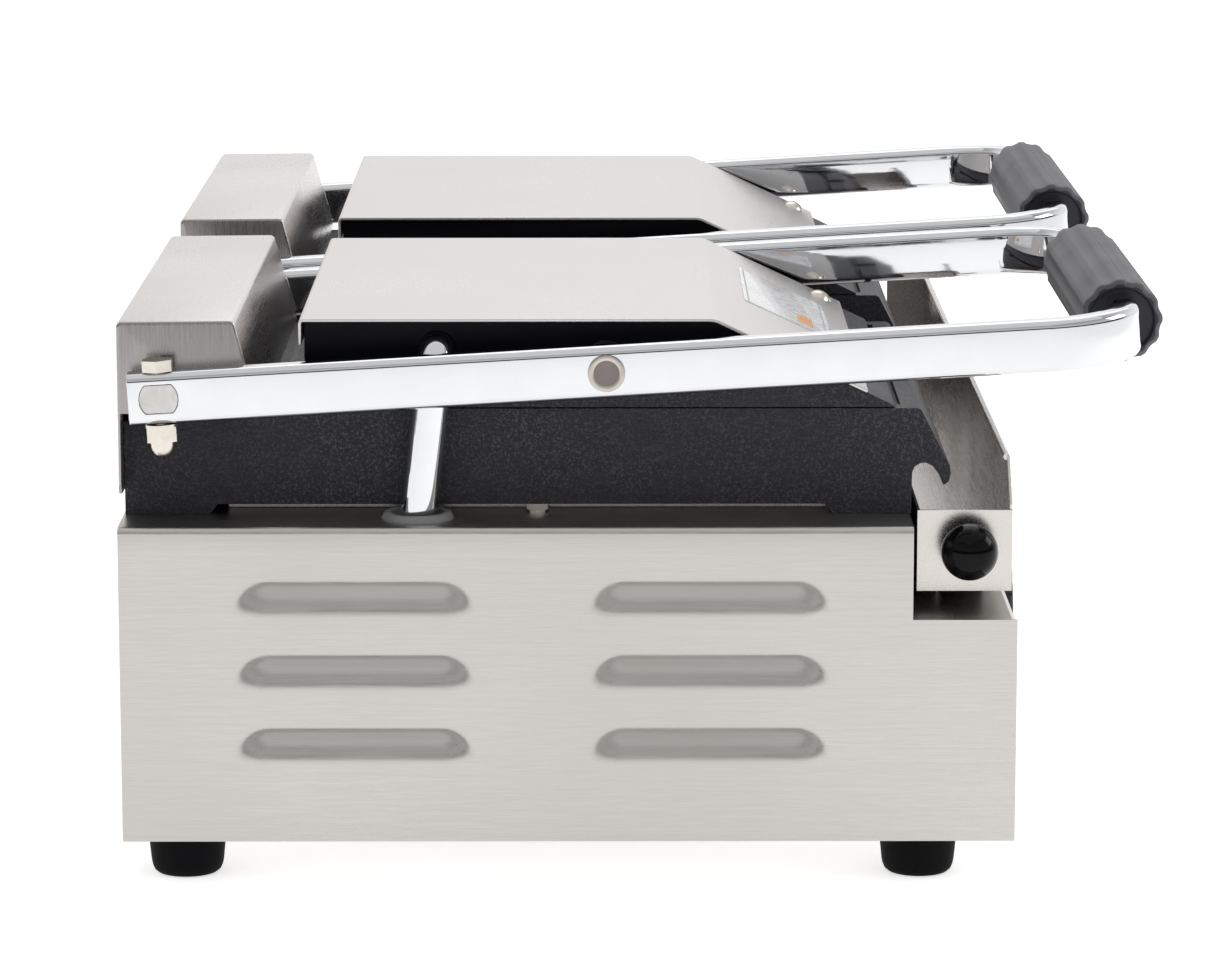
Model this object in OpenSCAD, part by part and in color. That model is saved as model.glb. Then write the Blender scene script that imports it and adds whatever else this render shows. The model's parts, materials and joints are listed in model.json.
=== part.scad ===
// Double contact grill (panini press): two independent lids over two cooking
// plates, on a folded sheet-metal base with a side-loading drip tray.
// +Z up, front towards -Y, user's left towards -X. Origin on the ground plane,
// under the middle of the overall envelope.

/* [Base housing] */
// Width of the base over the side panels
base_w = 570; // [540:5:600]
// Depth of the base from front panel to rear panel
base_d = 340; // [338:1:342]
// Height of the deck above the ground
deck_z = 137; // [136:0.5:138]
// Height of the front ledge that carries the drip tray
ledge_z = 101.3; // [100:0.1:102]
// Depth of the front ledge
ledge_d = 39.6; // [39:0.1:40.5]
// Ground clearance under the bottom edge of the panels
panel_z = 15.2; // [15:0.1:16]
// Sheet thickness of the housing panels
sheet = 1.2; // [1:0.1:1.4]

/* [Louvers] */
// Length of the straight run of one louver
louver_l = 64.8; // [50:0.2:66]
// Height of one louver
louver_h = 11; // [9:0.5:12]
// Vertical pitch of the louvers
louver_pitch = 28.35; // [26:0.05:30]

/* [Cooking plates] */
// Width of one cooking plate
plate_w = 219; // [214:1:220]
// Distance from the middle of the base to the inner edge of a plate
plate_in = 38; // [37:0.5:40]
// Height of the lower cooking surface
cook_z = 177.8; // [177.6:0.1:178]
// Gap between the closed plates
plate_gap = 0.5; // [0.4:0.1:1.5]
// Pitch of the cooking grooves
groove_pitch = 6.2; // [5:0.1:8]
// Depth of the cooking grooves
groove_h = 2.4; // [1.5:0.1:3]

/* [Lids] */
// Upward slope of the handle arms, in degrees
arm_tilt = 3.35; // [3.2:0.05:3.5]
// Distance from hinge to hand grip along an arm
arm_l = 367.3; // [360:0.1:368]
// Height of the handle tube section
tube_h = 20; // [19:0.5:20]
// Thickness of the handle tube section
tube_t = 11; // [10:0.5:11]
// Wall of the handle tube
tube_wall = 1.5; // [1.2:0.1:2]
// Centreline bend radius of the handle tube
tube_bend = 33; // [30:1:36]
// Outside diameter of the hand grip
grip_d = 32; // [30:0.5:32]
// Length of the hand grip
grip_l = 165; // [150:1:175]
// Top of the lid cover above the ground
cover_z = 213; // [212.5:0.1:213]

/* [Conduits] */
// Outside diameter of the wiring conduit
conduit_d = 14; // [12:0.5:14]
// Length of the straight conduit leg below its swivel
conduit_l = 168; // [165:1:170]

/* [Drip tray] */
// Length of the drip tray
tray_l = 516; // [500:1:518]
// Ball knob diameter
ball_d = 21.8; // [18:0.2:22]

/* [Controls] */
// Diameter of a thermostat dial
dial_d = 40; // [34:1:44]
// Distance of the dials from the middle of the front panel
dial_x = 64; // [58:1:70]
// Distance of the rocker switches from the middle of the front panel
rocker_x = 122; // [110:1:140]

/* [Hidden] */

$fn = 48;
e = 0.01;
hw = base_w / 2;            // half width of the base
by = base_d / 2;            // half depth of the base
ystep = -by + ledge_d;      // riser behind the tray ledge
// the lid hinge axis and the plate pivot axis, in housing coordinates
hy = 153.7;
hz = 185.8;
py = -14.5;
pz = hz + (hy - py) * tan(arm_tilt);
// arm positions, measured from the middle of the base
arm_out = hw - 2 - tube_t / 2;
arm_in = 13 + tube_t / 2;
plate_out = plate_in + plate_w;
box_in = 27;
box_out = 269;
cov_in = 33;
cov_out = 262;
slope = 0.47;               // fall of the cover front
yb = -55.7;                 // cover bend line
// hinge bracket bolts, and the floor of the bracket recesses
bolt_y = [125.5, 134.6];
recess_z = 173;
// conduit swivel and its grommet
cx = 264.4;
cy = 50;
cz = 200;
gy = 57;
cond_a = atan((gy - cy) / (cz - deck_z));
grip_y = hy - arm_l * cos(arm_tilt);
gland_y = 179;
// shift that puts the origin under the middle of the overall depth
ys = -(grip_y - grip_d / 2 + gland_y) / 2;

steel = [0.78, 0.77, 0.75];
chrome = [0.86, 0.87, 0.88];
iron = [0.17, 0.17, 0.19];
black = [0.09, 0.09, 0.1];
nickel = [0.74, 0.71, 0.66];
wool = [0.85, 0.83, 0.76];

module place() translate([0, ys, 0]) children();
module unit(s) mirror([s < 0 ? 1 : 0, 0, 0]) children();
module pair() { children(); mirror([1, 0, 0]) children(); }
// profile drawn as [Y, Z] and swept along X from x0 to x1
module along_x(x0, x1) translate([x0, 0, 0]) rotate([90, 0, 90]) linear_extrude(x1 - x0) children();
// cylinder along X or Y
module cyl_x(x0, x1, y, z, r) translate([x0, y, z]) rotate([0, 90, 0]) cylinder(r = r, h = x1 - x0);
module cyl_y(y0, y1, x, z, r) translate([x, y0, z]) rotate([-90, 0, 0]) cylinder(r = r, h = y1 - y0);
module box(x0, x1, y0, y1, z0, z1) translate([x0, y0, z0]) cube([x1 - x0, y1 - y0, z1 - z0]);
module round_rect(w, h, r) union() {
    square([w - 2 * r, h], center = true);
    square([w, h - 2 * r], center = true);
    for (i = [-1, 1], j = [-1, 1]) translate([i * (w / 2 - r), j * (h / 2 - r)]) circle(r = r);
}
module hex(af, h) cylinder(d = af / cos(30), h = h, $fn = 6);
// frame of a lid's handle: local -Y runs forward along the arms from the hinge
module lid_frame() translate([0, hy, hz]) rotate([-arm_tilt, 0, 0]) children();

// ---------------------------------------------------------------- base
module wrap2d(o) {
    r = 2.6 - o;
    w = hw - o;
    t = deck_z - o;
    translate([0, panel_z]) {
        translate([-w, 0]) square([2 * w, t - panel_z - r]);
        translate([-w + r, 0]) square([2 * w - 2 * r, t - panel_z]);
        for (i = [-1, 1]) translate([i * (w - r), t - panel_z - r]) circle(r = r);
    }
}
// one pressed hood, open at the bottom, on the outside of the right panel
module louver_solid(r, d) {
    // d is the depth of the hood's axis inside the panel face
    translate([hw - d, 0, 0]) {
        rotate([90, 0, 0]) translate([0, 0, -louver_l / 2]) cylinder(r = r, h = louver_l);
        for (s = [-1, 1]) translate([0, s * louver_l / 2, 0]) sphere(r = r);
    }
}
lv_r = 13.5;
lv_d = sqrt(lv_r * lv_r - louver_h * louver_h);
module at_louvers() for (yc = [81.1, -53.6], k = [0:2])
    translate([0, yc, 46.8 + k * louver_pitch]) children();
module louvers_shell() at_louvers() difference() {
    louver_solid(lv_r, lv_d);
    louver_solid(lv_r - 1, lv_d);
    box(hw - 40, hw - 0.4, -80, 80, -30, 30);
    box(hw - 40, hw + 20, -80, 80, -30, 0);
}
module louver_cuts() at_louvers() difference() {
    louver_solid(lv_r - 1, lv_d);
    box(hw - 40, hw + 20, -80, 80, -30, 0);
}
module base_housing() color(steel) place() difference() {
    union() {
        difference() {
            translate([0, by, 0]) rotate([90, 0, 0]) linear_extrude(base_d) wrap2d(0);
            translate([0, by + 1, 0]) rotate([90, 0, 0]) linear_extrude(base_d + 2) translate([0, -2]) wrap2d(sheet);
            translate([0, by + 1, 0]) rotate([90, 0, 0]) linear_extrude(base_d + 2) wrap2d(sheet);
            box(-hw - 1, hw + 1, -by - 1, ystep, ledge_z, deck_z + 1);
        }
        pair() {
            louvers_shell();
            // bottom return flange and the front and rear tabs
            box(hw - 31, hw - sheet + e, -by + 2.5, by - 2.5, panel_z, panel_z + sheet);
            box(hw - 14, hw - sheet + e, -by + sheet + 0.02, -by + 2 * sheet, 22, 96);
            box(hw - 14, hw - sheet + e, by - 2 * sheet, by - sheet - 0.02, 22, 130);
        }
    }
    pair() {
        louver_cuts();
        // grommet hole, plate wiring hole, stud holes and foot screw holes
        translate([cx, gy, deck_z - 4]) cylinder(r = 12, h = 8);
        box(110, 185, -20, 40, deck_z - 4, deck_z + 4);
        for (x = [plate_in + 6, plate_out - 6]) translate([x, 12, deck_z - 4]) cylinder(r = 3.1, h = 8);
        for (y = [-134, 146.5]) translate([270, y, panel_z - 1]) cylinder(r = 2.7, h = 4);
    }
}
module front_panel() color(steel) place() difference() {
    along_x(-hw + sheet + 0.05, hw - sheet - 0.05) difference() {
        polygon([[-by, panel_z], [-by, ledge_z - 2], [-by + 2, ledge_z], [ystep, ledge_z], [ystep, deck_z - sheet - 0.05],
            [ystep + sheet, deck_z - sheet - 0.05], [ystep + sheet, ledge_z - sheet], [-by + 2.5, ledge_z - sheet],
            [-by + sheet, ledge_z - 2.5], [-by + sheet, panel_z + 2 * sheet], [-by + 14, panel_z + 2 * sheet],
            [-by + 14, panel_z + sheet], [-by + 2, panel_z + sheet], [-by + 2, panel_z]]);
    }
    pair() {
        cyl_y(-by - 1, -by + 3, dial_x, 60, 5.5);
        for (z = [50, 70]) cyl_y(-by - 1, -by + 3, 24, z, 5.05);
        box(rocker_x - 9.6, rocker_x + 9.6, -by - 1, -by + 1.8, 60 - 14.1, 60 + 14.1);
    }
}
module rear_panel() color(steel) place() difference() {
    box(-hw + sheet + 0.05, hw - sheet - 0.05, by - sheet, by, panel_z, deck_z - sheet - 0.05);
    for (x = [-200, -120, 120], k = [0:4]) box(x - 30, x + 30, by - 3, by + 1, 62 + k * 12, 66 + k * 12);
    cyl_y(by - 3, by + 1, 200, 40, 9.6);
    pair() for (x = [75, 225], z = [26, 126]) cyl_y(by - 3, by + 1, x, z, 2.1);
}
module bottom_plate() color(steel) place() difference() {
    box(-hw + sheet + 0.1, hw - sheet - 0.1, -by + 14.1, by - 2.6, panel_z + sheet, panel_z + 2 * sheet);
    pair() {
        for (k = [0:8]) box(40 + k * 22, 46 + k * 22, -70, 90, 10, 30);
        for (y = [-134, 146.5]) translate([270, y, 10]) cylinder(r = 2.7, h = 12);
    }
}
module feet() color(black) place() pair() for (y = [-134, 146.5]) translate([270, y, 0]) difference() {
    rotate_extrude() {
        polygon([[0, 0], [10, 0], [12.6, 0.9], [13.7, 3.2], [15, panel_z], [0, panel_z]]);
    }
    translate([0, 0, -1]) cylinder(r = 6, h = 6);
    translate([0, 0, -1]) cylinder(r = 2.6, h = 20);
}
module foot_screws() color(nickel) place() pair() for (y = [-134, 146.5]) translate([270, y, 0]) {
    translate([0, 0, 2.2]) cylinder(r = 4.6, h = 2.8);
    translate([0, 0, 4.9]) cylinder(r = 2.5, h = 19);
    translate([0, 0, panel_z + 2 * sheet]) difference() { hex(8, 4); translate([0, 0, -1]) cylinder(r = 2.5, h = 6); }
}
module panel_screws() color(nickel) place() pair() for (x = [75, 225], z = [26, 126]) {
    cyl_y(by, by + 2.2, x, z, 3.8);
    cyl_y(by - 8, by + 0.1, x, z, 2);
}

// ---------------------------------------------------------------- lower plates
// comb of grooves from x0 to x1, cut to depth d below z
module grooves(x0, x1, y0, y1, z, d) {
    n = floor((x1 - x0) / groove_pitch);
    w = groove_pitch;
    translate([x0, y1, z]) rotate([90, 0, 0]) linear_extrude(y1 - y0)
        polygon(concat([[0, 2 * sign(d)]],
            [for (i = [0:n - 1], k = [0:3]) [i * w + [0, 0.9, 2.6, 3.5][k], k == 1 || k == 2 ? -d : 0.001 * sign(d)]],
            [[n * w, 0.001 * sign(d)], [n * w, 2 * sign(d)]]));
}
module lower_profile() polygon([[169.4, deck_z], [169.4, cook_z - 1], [168.4, cook_z], [-133.2, cook_z], [-134.6, cook_z - 0.8],
    [-145.6, 155.5], [-146, 152.5], [-145.2, 149.4], [-143.3, 147.9], [-142.6, 149.2], [-141.2, 152.6], [-138.8, 155.6], [-136.4, 156.7],
    [-134.3, 156.5], [-132.2, 155.2], [-131.2, 153], [-131, deck_z], [-101, deck_z], [-98, deck_z + 3.8],
    [134, deck_z + 3.8], [137, deck_z]]);
module lower_platen() difference() {
    along_x(plate_in, plate_out) lower_profile();
    // heater cavity, spring well at the rear, grooves, drain channel and drain notch
    box(plate_in + 12, plate_out - 12, -118, 106, deck_z - 1, cook_z - 12);
    box(plate_in + 12, plate_out - 12, 100, 158, deck_z - 1, 154);
    box(plate_in + 12, plate_out - 12, 119, 167.6, 166, cook_z + 2);
    // recesses that take the feet of the hinge brackets
    for (x = [plate_in - 1, plate_out - 6.5]) box(x, x + 7.5, 139.4, 171, recess_z, cook_z + 2);
    grooves(plate_in + 9, plate_out - 9, -120.5, 102, cook_z, groove_h);
    box(plate_in + 9, plate_out - 9, -127, -120, cook_z - groove_h, cook_z + 1);
    box(147.5 - 14, 147.5 + 14, -150, -126, cook_z - groove_h, cook_z + 1);
    for (x = [plate_in + 6, plate_out - 6]) translate([x, 12, deck_z]) cylinder(r = 3.02, h = 18);
    for (x = [plate_in + 6, plate_out - 6], y = bolt_y) translate([x, y, 166]) cylinder(r = 2.5, h = 20);
    for (x = [90, 205]) cyl_y(160, 172, x, 156, 2.02);
}
module left_lower_platen() color(iron) place() unit(-1) lower_platen();
module right_lower_platen() color(iron) place() unit(1) lower_platen();
module platen_studs() color(nickel) place() pair() for (x = [plate_in + 6, plate_out - 6]) translate([x, 12, 0]) {
    translate([0, 0, deck_z - 14]) cylinder(r = 3, h = 31);
    difference() {
        union() {
            translate([0, 0, deck_z - sheet - 1.2]) cylinder(r = 5.6, h = 1.2);
            translate([0, 0, deck_z - sheet - 6.2]) hex(8.6, 5);
            translate([0, 0, deck_z]) cylinder(r = 4.6, h = 1);
            translate([0, 0, deck_z + 1]) hex(8, 2.7);
        }
        translate([0, 0, deck_z - 20]) cylinder(r = 3, h = 40);
    }
}
module element_pans() color(steel) place() pair() difference() {
    box(plate_in + 13, plate_out - 13, -115, 131, deck_z + 0.02, 151);
    box(plate_in + 13.8, plate_out - 13.8, -114.2, 130.2, deck_z + 0.8, 152);
    for (x = [128, 167]) translate([x, 10, deck_z - 1]) cylinder(r = 6, h = 4);
}
module lower_insulation() color(wool) place() pair() difference() {
    box(plate_in + 14, plate_out - 14, -114, 96, deck_z + 0.82, 150.8);
    for (x = [128, 167]) translate([x, 10, deck_z - 1]) cylinder(r = 6, h = 40);
}
// tubular heater: five runs joined by hairpins, terminals dropping or rising near the middle
module element(z, y0, y1, x0, x1, up) {
    n = 6;
    p = (x1 - x0) / (n - 1);
    for (i = [0:n - 1]) cyl_y(y0 + p / 2 - e, y1 - p / 2 + e, x0 + i * p, z, 4);
    for (i = [0:n - 2]) translate([x0 + (i + 0.5) * p, i % 2 == 0 ? y0 + p / 2 : y1 - p / 2, z])
        rotate([0, 0, i % 2 == 0 ? 180 : 0]) rotate_extrude(angle = 180) translate([p / 2, 0]) circle(r = 4);
}
module lower_elements() color([0.3, 0.3, 0.3]) place() pair() {
    element(cook_z - 16.1, -108, 88, plate_in + 26, plate_out - 26);
}

// ---------------------------------------------------------------- hinge and spring boxes
module spring_box() difference() {
    along_x(box_in, box_out) polygon([[116.8, cook_z + 0.1], [126.2, 213.6], [170.8, 213.2], [170.8, 146.5],
        [169.6, 146.5], [169.6, cook_z + 0.1]]);
    along_x(box_in + sheet, box_out - sheet) polygon([[118, cook_z - 1], [127.2, 212.4], [169.6, 212], [169.6, cook_z - 1]]);
    // chamfered lower corners of the rear wall
    for (x = [box_in, box_out]) translate([x, 165, 146.5]) rotate([0, 45, 0]) translate([-3, 0, -3]) cube([6, 10, 6]);
    cyl_x(box_in - 1, box_out + 1, hy, hz, 8.2);
    box(box_in - 1, box_out + 1, hy - 8.2, hy + 8.2, cook_z - 1, hz);
    for (x = [90, 205]) cyl_y(160, 172, x, 156, 2.1);
}
module left_spring_box() color(steel) place() unit(-1) spring_box();
module right_spring_box() color(steel) place() unit(1) spring_box();
module spring_box_screws() color(nickel) place() pair() for (x = [90, 205]) {
    cyl_y(170.8, 173, x, 156, 3.8);
    cyl_y(161, 170.9, x, 156, 2);
}
module bracket(x0, x1, f0, f1) difference() {
    union() {
        along_x(x0, x1) difference() {
            union() { translate([hy, hz]) circle(r = 14); translate([hy - 14, recess_z]) square([28, hz - recess_z]); }
            translate([hy - 20, recess_z - 12]) square([40, 12]);
        }
        box(f0, f1, 121, 143, cook_z, cook_z + 3);
    }
    cyl_x(x0 - 1, x1 + 1, hy, hz, 9);
}
module hinge_brackets() color([0.45, 0.45, 0.46]) place() pair() {
    difference() {
        bracket(plate_in + 1, plate_in + 6, plate_in + 1, plate_in + 12);
        for (y = bolt_y) translate([plate_in + 6, y, 170]) cylinder(r = 2.5, h = 20);
    }
    difference() {
        bracket(plate_out - 6, plate_out - 1, plate_out - 12, plate_out - 1);
        for (y = bolt_y) translate([plate_out - 6, y, 170]) cylinder(r = 2.5, h = 20);
    }
}
module bracket_bolts() color(nickel) place() pair() for (x = [plate_in + 6, plate_out - 6], y = bolt_y) translate([x, y, 0]) {
    translate([0, 0, cook_z + 3]) hex(7, 4);
    translate([0, 0, 168]) cylinder(r = 2.5, h = cook_z + 4 - 168);
}
module bush(x0, x1) difference() {
    cyl_x(x0, x1, hy, hz, 9);
    cyl_x(x0 - 1, x1 + 1, hy, hz, 7.3);
}
module hinge_bushes() color([0.72, 0.55, 0.3]) place() pair() {
    bush(plate_in + 1, plate_in + 6);
    bush(plate_out - 6, plate_out - 1);
}
// helical torsion spring round the hinge axis, with a straight leg at each end
function coil_pt(i, n, turns, r, x0, pitch) = let (a = 360 * turns * i / n)
    [x0 + pitch * turns * i / n, hy + r * cos(a), hz + r * sin(a)];
module coil(x0, turns, r, wire, pitch) {
    m = 12;
    s = 6;
    n = turns * m;
    c = [for (i = [0:n]) coil_pt(i, n, turns, r, x0, pitch)];
    lead = [x0, hy + r, hz - 15];
    tail = [x0 + pitch * turns, hy + r, hz + 15];
    p = concat([lead], c, [tail]);
    k = len(p);
    function unitv(v) = v / norm(v);
    ring = [for (i = [0:k - 1]) let (
        t = unitv(p[min(i + 1, k - 1)] - p[max(i - 1, 0)]),
        u = unitv(cross(t, [1, 0, 0])), w = cross(t, u))
        for (j = [0:s - 1]) p[i] + wire * (cos(360 * j / s) * u + sin(360 * j / s) * w)];
    polyhedron(points = ring, faces = concat(
        [[for (j = [0:s - 1]) s - 1 - j]],
        [for (i = [0:k - 2], j = [0:s - 1]) [i * s + j, i * s + (j + 1) % s, (i + 1) * s + (j + 1) % s, (i + 1) * s + j]],
        [[for (j = [0:s - 1]) (k - 1) * s + j]]));
}
module torsion_springs() color([0.35, 0.35, 0.37]) place() pair() {
    coil(62, 7, 11.4, 1.7, 4.4);
    coil(200, 7, 11.4, 1.7, 4.4);
}

// ---------------------------------------------------------------- inside the base
module conduit_grommets() color([0.42, 0.42, 0.44]) place() pair() translate([cx, gy + 0.4, 0]) difference() {
    union() {
        translate([0, 0, deck_z]) cylinder(r1 = 13.75, r2 = 12.4, h = 2.6);
        translate([0, 0, deck_z - sheet]) cylinder(r = 11.6, h = sheet + 0.1);
        translate([0, 0, deck_z - sheet - 2.2]) cylinder(r = 13, h = 2.2);
    }
    translate([0, 0, deck_z - 8]) cylinder(r = 10, h = 16);
}
module terminal_block() color([0.9, 0.9, 0.86]) place() difference() {
    union() {
        box(170, 230, 90, 112, panel_z + 2 * sheet, 30);
        for (k = [0:4]) box(171 + k * 12, 181 + k * 12, 93, 109, 29.9, 37);
    }
    for (k = [0:4]) translate([176 + k * 12, 101, 31]) cylinder(r = 2.6, h = 10);
}
module thermostats() color([0.6, 0.6, 0.58]) place() pair() difference() {
    union() {
        cyl_y(-by + sheet + 0.02, -by + 5, dial_x, 60, 5.4);
        box(dial_x - 19, dial_x + 19, -by + 4.9, -by + 24, 41, 79);
        for (z = [46, 60, 74]) box(dial_x - 14, dial_x - 8, -by + 23.9, -by + 32, z - 0.8, z + 0.8);
    }
    cyl_y(-by - 1, -by + 15, dial_x, 60, 3.05);
}
module pilot_lamps() color([0.85, 0.35, 0.12]) place() pair() for (z = [50, 70]) {
    cyl_y(-by - 1.6, -by, 24, z, 6.6);
    cyl_y(-by - e, -by + 16, 24, z, 5);
    intersection() {
        translate([24, -by + 3.2, z]) sphere(r = 8);
        cyl_y(-by - 10, -by - 1.5, 24, z, 5.2);
    }
}
module rocker_frames() color(black) place() pair() difference() {
    union() {
        box(rocker_x - 11, rocker_x + 11, -by - 1.6, -by, 60 - 15.5, 60 + 15.5);
        box(rocker_x - 9.5, rocker_x + 9.5, -by - e, -by + 20, 60 - 14, 60 + 14);
    }
    box(rocker_x - 8, rocker_x + 8, -by - 3, -by + 18.5, 60 - 12.4, 60 + 12.4);
}
module rocker() intersection() {
    cyl_x(rocker_x - 7.7, rocker_x + 7.7, -by + 5.5, 60, 12.1);
    translate([0, -by + 5.5, 60]) rotate([10, 0, 0]) along_x(rocker_x - 8, rocker_x + 8)
        polygon([[-6.6, 0], [-7.9, 13], [5, 13], [5, -13], [-7.9, -13]]);
}
module left_rocker() color(black) place() unit(-1) rocker();
module right_rocker() color(black) place() unit(1) rocker();
module dial() difference() {
    union() {
        cyl_y(-by - 15.6, -by - 3, dial_x, 60, dial_d / 2 - 2.5);
        cyl_y(-by - 4.2, -by - 1.4, dial_x, 60, dial_d / 2);
        box(dial_x - 3, dial_x + 3, -by - 16.8, -by - 5, 60 - 14, 60 + 15.5);
    }
    cyl_y(-by - 12, -by, dial_x, 60, 3.02);
    for (i = [0:17]) if (i % 9 > 0) translate([dial_x, 0, 60]) rotate([0, i * 20, 0]) cyl_y(-by - 18, -by - 3.9, 0, dial_d / 2 - 0.6, 2.6);
}
module left_dial() color(black) place() unit(-1) dial();
module right_dial() color(black) place() unit(1) dial();
module spindle() cyl_y(-by - 11.8, -by + 14.5, dial_x, 60, 3);
module left_spindle() color(nickel) place() unit(-1) spindle();
module right_spindle() color(nickel) place() unit(1) spindle();
module cable_gland() color(black) place() translate([200, 0, 40]) difference() {
    union() {
        cyl_y(by, by + 3, 0, 0, 13);
        cyl_y(by - sheet - 10, by + 0.1, 0, 0, 9.5);
        translate([0, by + 2.9, 0]) rotate([-90, 0, 0]) cylinder(r1 = 9.5, r2 = 7.5, h = gland_y - by - 2.9);
        translate([0, by - sheet - 6, 0]) rotate([-90, 0, 0]) hex(24, 6);
    }
    cyl_y(by - 30, gland_y + 5, 0, 0, 4);
}
// flat branched harness laid on the bottom plate, from the terminals up to the thermostat tabs
module wiring_loom() color([0.75, 0.72, 0.68]) place() {
    z0 = panel_z + 2 * sheet + 0.05;
    translate([0, 0, z0]) linear_extrude(4) {
        translate([194, 36]) square([12, 53.8]);
        translate([-dial_x + 7, 36]) square([206 + dial_x - 7, 8]);
        for (s = [-1, 1]) translate([s * (dial_x - 11) - 4, -138]) square([8, 178]);
    }
    for (s = [-1, 1]) {
        translate([s * (dial_x - 11), -134, z0 + 3]) cylinder(r = 3, h = 24);
        translate([s * (dial_x - 11) - 4, -137.9, 42]) cube([8, 7, 36]);
    }
}

// ---------------------------------------------------------------- drip tray
tx0 = -261;
tx1 = tx0 + tray_l;
ty0 = -by + 0.5;
ty1 = ystep - 2.8;
tz = 107.6;
module tray_rails() color(steel) place() for (y = [-162, -144]) difference() {
    box(-hw + 62, hw - 8, y, y + 8, ledge_z, tz - 0.1);
    box(-hw + 61, hw - 7, y + 1, y + 9, ledge_z - 1, tz - 1.1);
}
module drip_tray() color(steel) place() difference() {
    union() {
        difference() {
            box(tx0, tx1, ty0, ty1, tz, 157);
            box(tx0 + 1, tx1 - 1, ty0 + 1, ty1 - 1, tz + 1, 158);
            // rear wall, and the near end wall, are lower than the front wall
            box(tx0 - 1, tx1 + 1, ty0 + 19, ty1 + 1, 139, 158);
            box(tx0 - 1, tx0 + 1.01, ty0 - 1, ty1 + 1, 139, 158);
            // corner cut of the front wall beside the knob
            translate([tx0, ty0 - 1, 140]) rotate([0, -45, 0]) translate([-30, 0, 0]) cube([60, 4, 60]);
        }
        // rolled rim along the front wall
        cyl_x(tx0 + 18, tx1, ty0 + 1.2, 156.4, 1.2);
    }
    cyl_x(tx0 - 1, tx0 + 3, -152.4, 124.9, 2.5);
}
module tray_knob() color(black) place() {
    translate([-272, -152.4, 124.9]) sphere(d = ball_d);
    cyl_x(-264.5, tx0, -152.4, 124.9, 5);
    cyl_x(tx0 - e, tx0 + 1.2, -152.4, 124.9, 2.4);
    cyl_x(tx0 + 1, tx0 + 4.5, -152.4, 124.9, 5);
}

// ---------------------------------------------------------------- lids
// handle tube: two arms, two bends and the bar under the grip; o shrinks the section
module handle_sweep(o, y1) {
    w = tube_t - 2 * o;
    h = tube_h - 2 * o;
    r = 3.4 - o * 0.8;
    for (x = [arm_in, arm_out]) translate([x, y1, 0]) rotate([90, 0, 0]) linear_extrude(arm_l - tube_bend + y1) round_rect(w, h, r);
    translate([arm_in + tube_bend, -arm_l, 0]) rotate([90, 0, 90]) linear_extrude(arm_out - arm_in - 2 * tube_bend) round_rect(w, h, r);
    translate([arm_in + tube_bend, -arm_l + tube_bend, 0]) rotate([0, 0, 180]) rotate_extrude(angle = 90) translate([tube_bend, 0]) round_rect(w, h, r);
    translate([arm_out - tube_bend, -arm_l + tube_bend, 0]) rotate([0, 0, 270]) rotate_extrude(angle = 90) translate([tube_bend, 0]) round_rect(w, h, r);
}
module shaft_end2d() intersection() { circle(r = 7.25); square([20, 10.5], center = true); }
module handle() lid_frame() difference() {
    handle_sweep(0, 11.6);
    handle_sweep(tube_wall, 9.8);
    // shaft, clamp bolt and pivot pin holes
    along_x(0, hw) shaft_end2d();
    for (x = [arm_in, arm_out]) translate([x, 0, -20]) cylinder(r = 3.25, h = 40);
    cyl_x(0, hw, -(hy - py) / cos(arm_tilt), 0, 5.02);
}
module grip() lid_frame() translate([(arm_in + arm_out) / 2 - grip_l / 2, -arm_l, 0]) rotate([90, 0, 90]) difference() {
    linear_extrude(grip_l) difference() {
        circle(r = grip_d / 2);
        for (i = [0:11]) rotate(i * 30 + 15) translate([grip_d / 2 + 6.6, 0]) circle(r = 7.4);
    }
    translate([0, 0, -1]) linear_extrude(grip_l + 2) round_rect(tube_t + 0.04, tube_h + 0.04, 3.4);
}
module hinge_shaft() lid_frame() difference() {
    union() {
        along_x(arm_in - tube_t / 2, arm_out + tube_t / 2) shaft_end2d();
        cyl_x(box_in - 2, box_out + 2, 0, 0, 7.25);
        // collars that take the inner legs of the springs
        cyl_x(100, 108, 0, 0, 13);
        cyl_x(184, 192, 0, 0, 13);
    }
    for (x = [arm_in, arm_out]) translate([x, 0, -20]) cylinder(r = 3.2, h = 40);
}
module hinge_bolts() lid_frame() for (x = [arm_in, arm_out]) translate([x, 0, 0]) {
    translate([0, 0, tube_h / 2]) hex(11.1, 4.4);
    translate([0, 0, -tube_h / 2 - 6]) cylinder(r = 3.175, h = tube_h + 8);
    difference() {
        union() {
            translate([0, 0, -tube_h / 2 - 1.2]) cylinder(r = 6.4, h = 1.2);
            translate([0, 0, -tube_h / 2 - 6.8]) hex(11.1, 5.6);
            translate([0, 0, -tube_h / 2 - 8.3]) cylinder(r = 4.9, h = 3);
            translate([0, 0, -tube_h / 2 - 8.2]) sphere(r = 4.9);
        }
        translate([0, 0, -tube_h / 2 - 6]) cylinder(r = 3.175, h = 20);
    }
}
module pivot_pins() lid_frame() translate([0, -(hy - py) / cos(arm_tilt), 0]) {
    cyl_x(arm_in - tube_t / 2, 54, 0, 0, 5);
    cyl_x(241, arm_out + tube_t / 2, 0, 0, 5);
    cyl_x(arm_in - tube_t / 2 - 1.2, arm_in - tube_t / 2, 0, 0, 7);
    cyl_x(arm_out + tube_t / 2, arm_out + tube_t / 2 + 1.2, 0, 0, 7);
}
up_z = cook_z + plate_gap;
top_z = up_z + 11.7;
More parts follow.
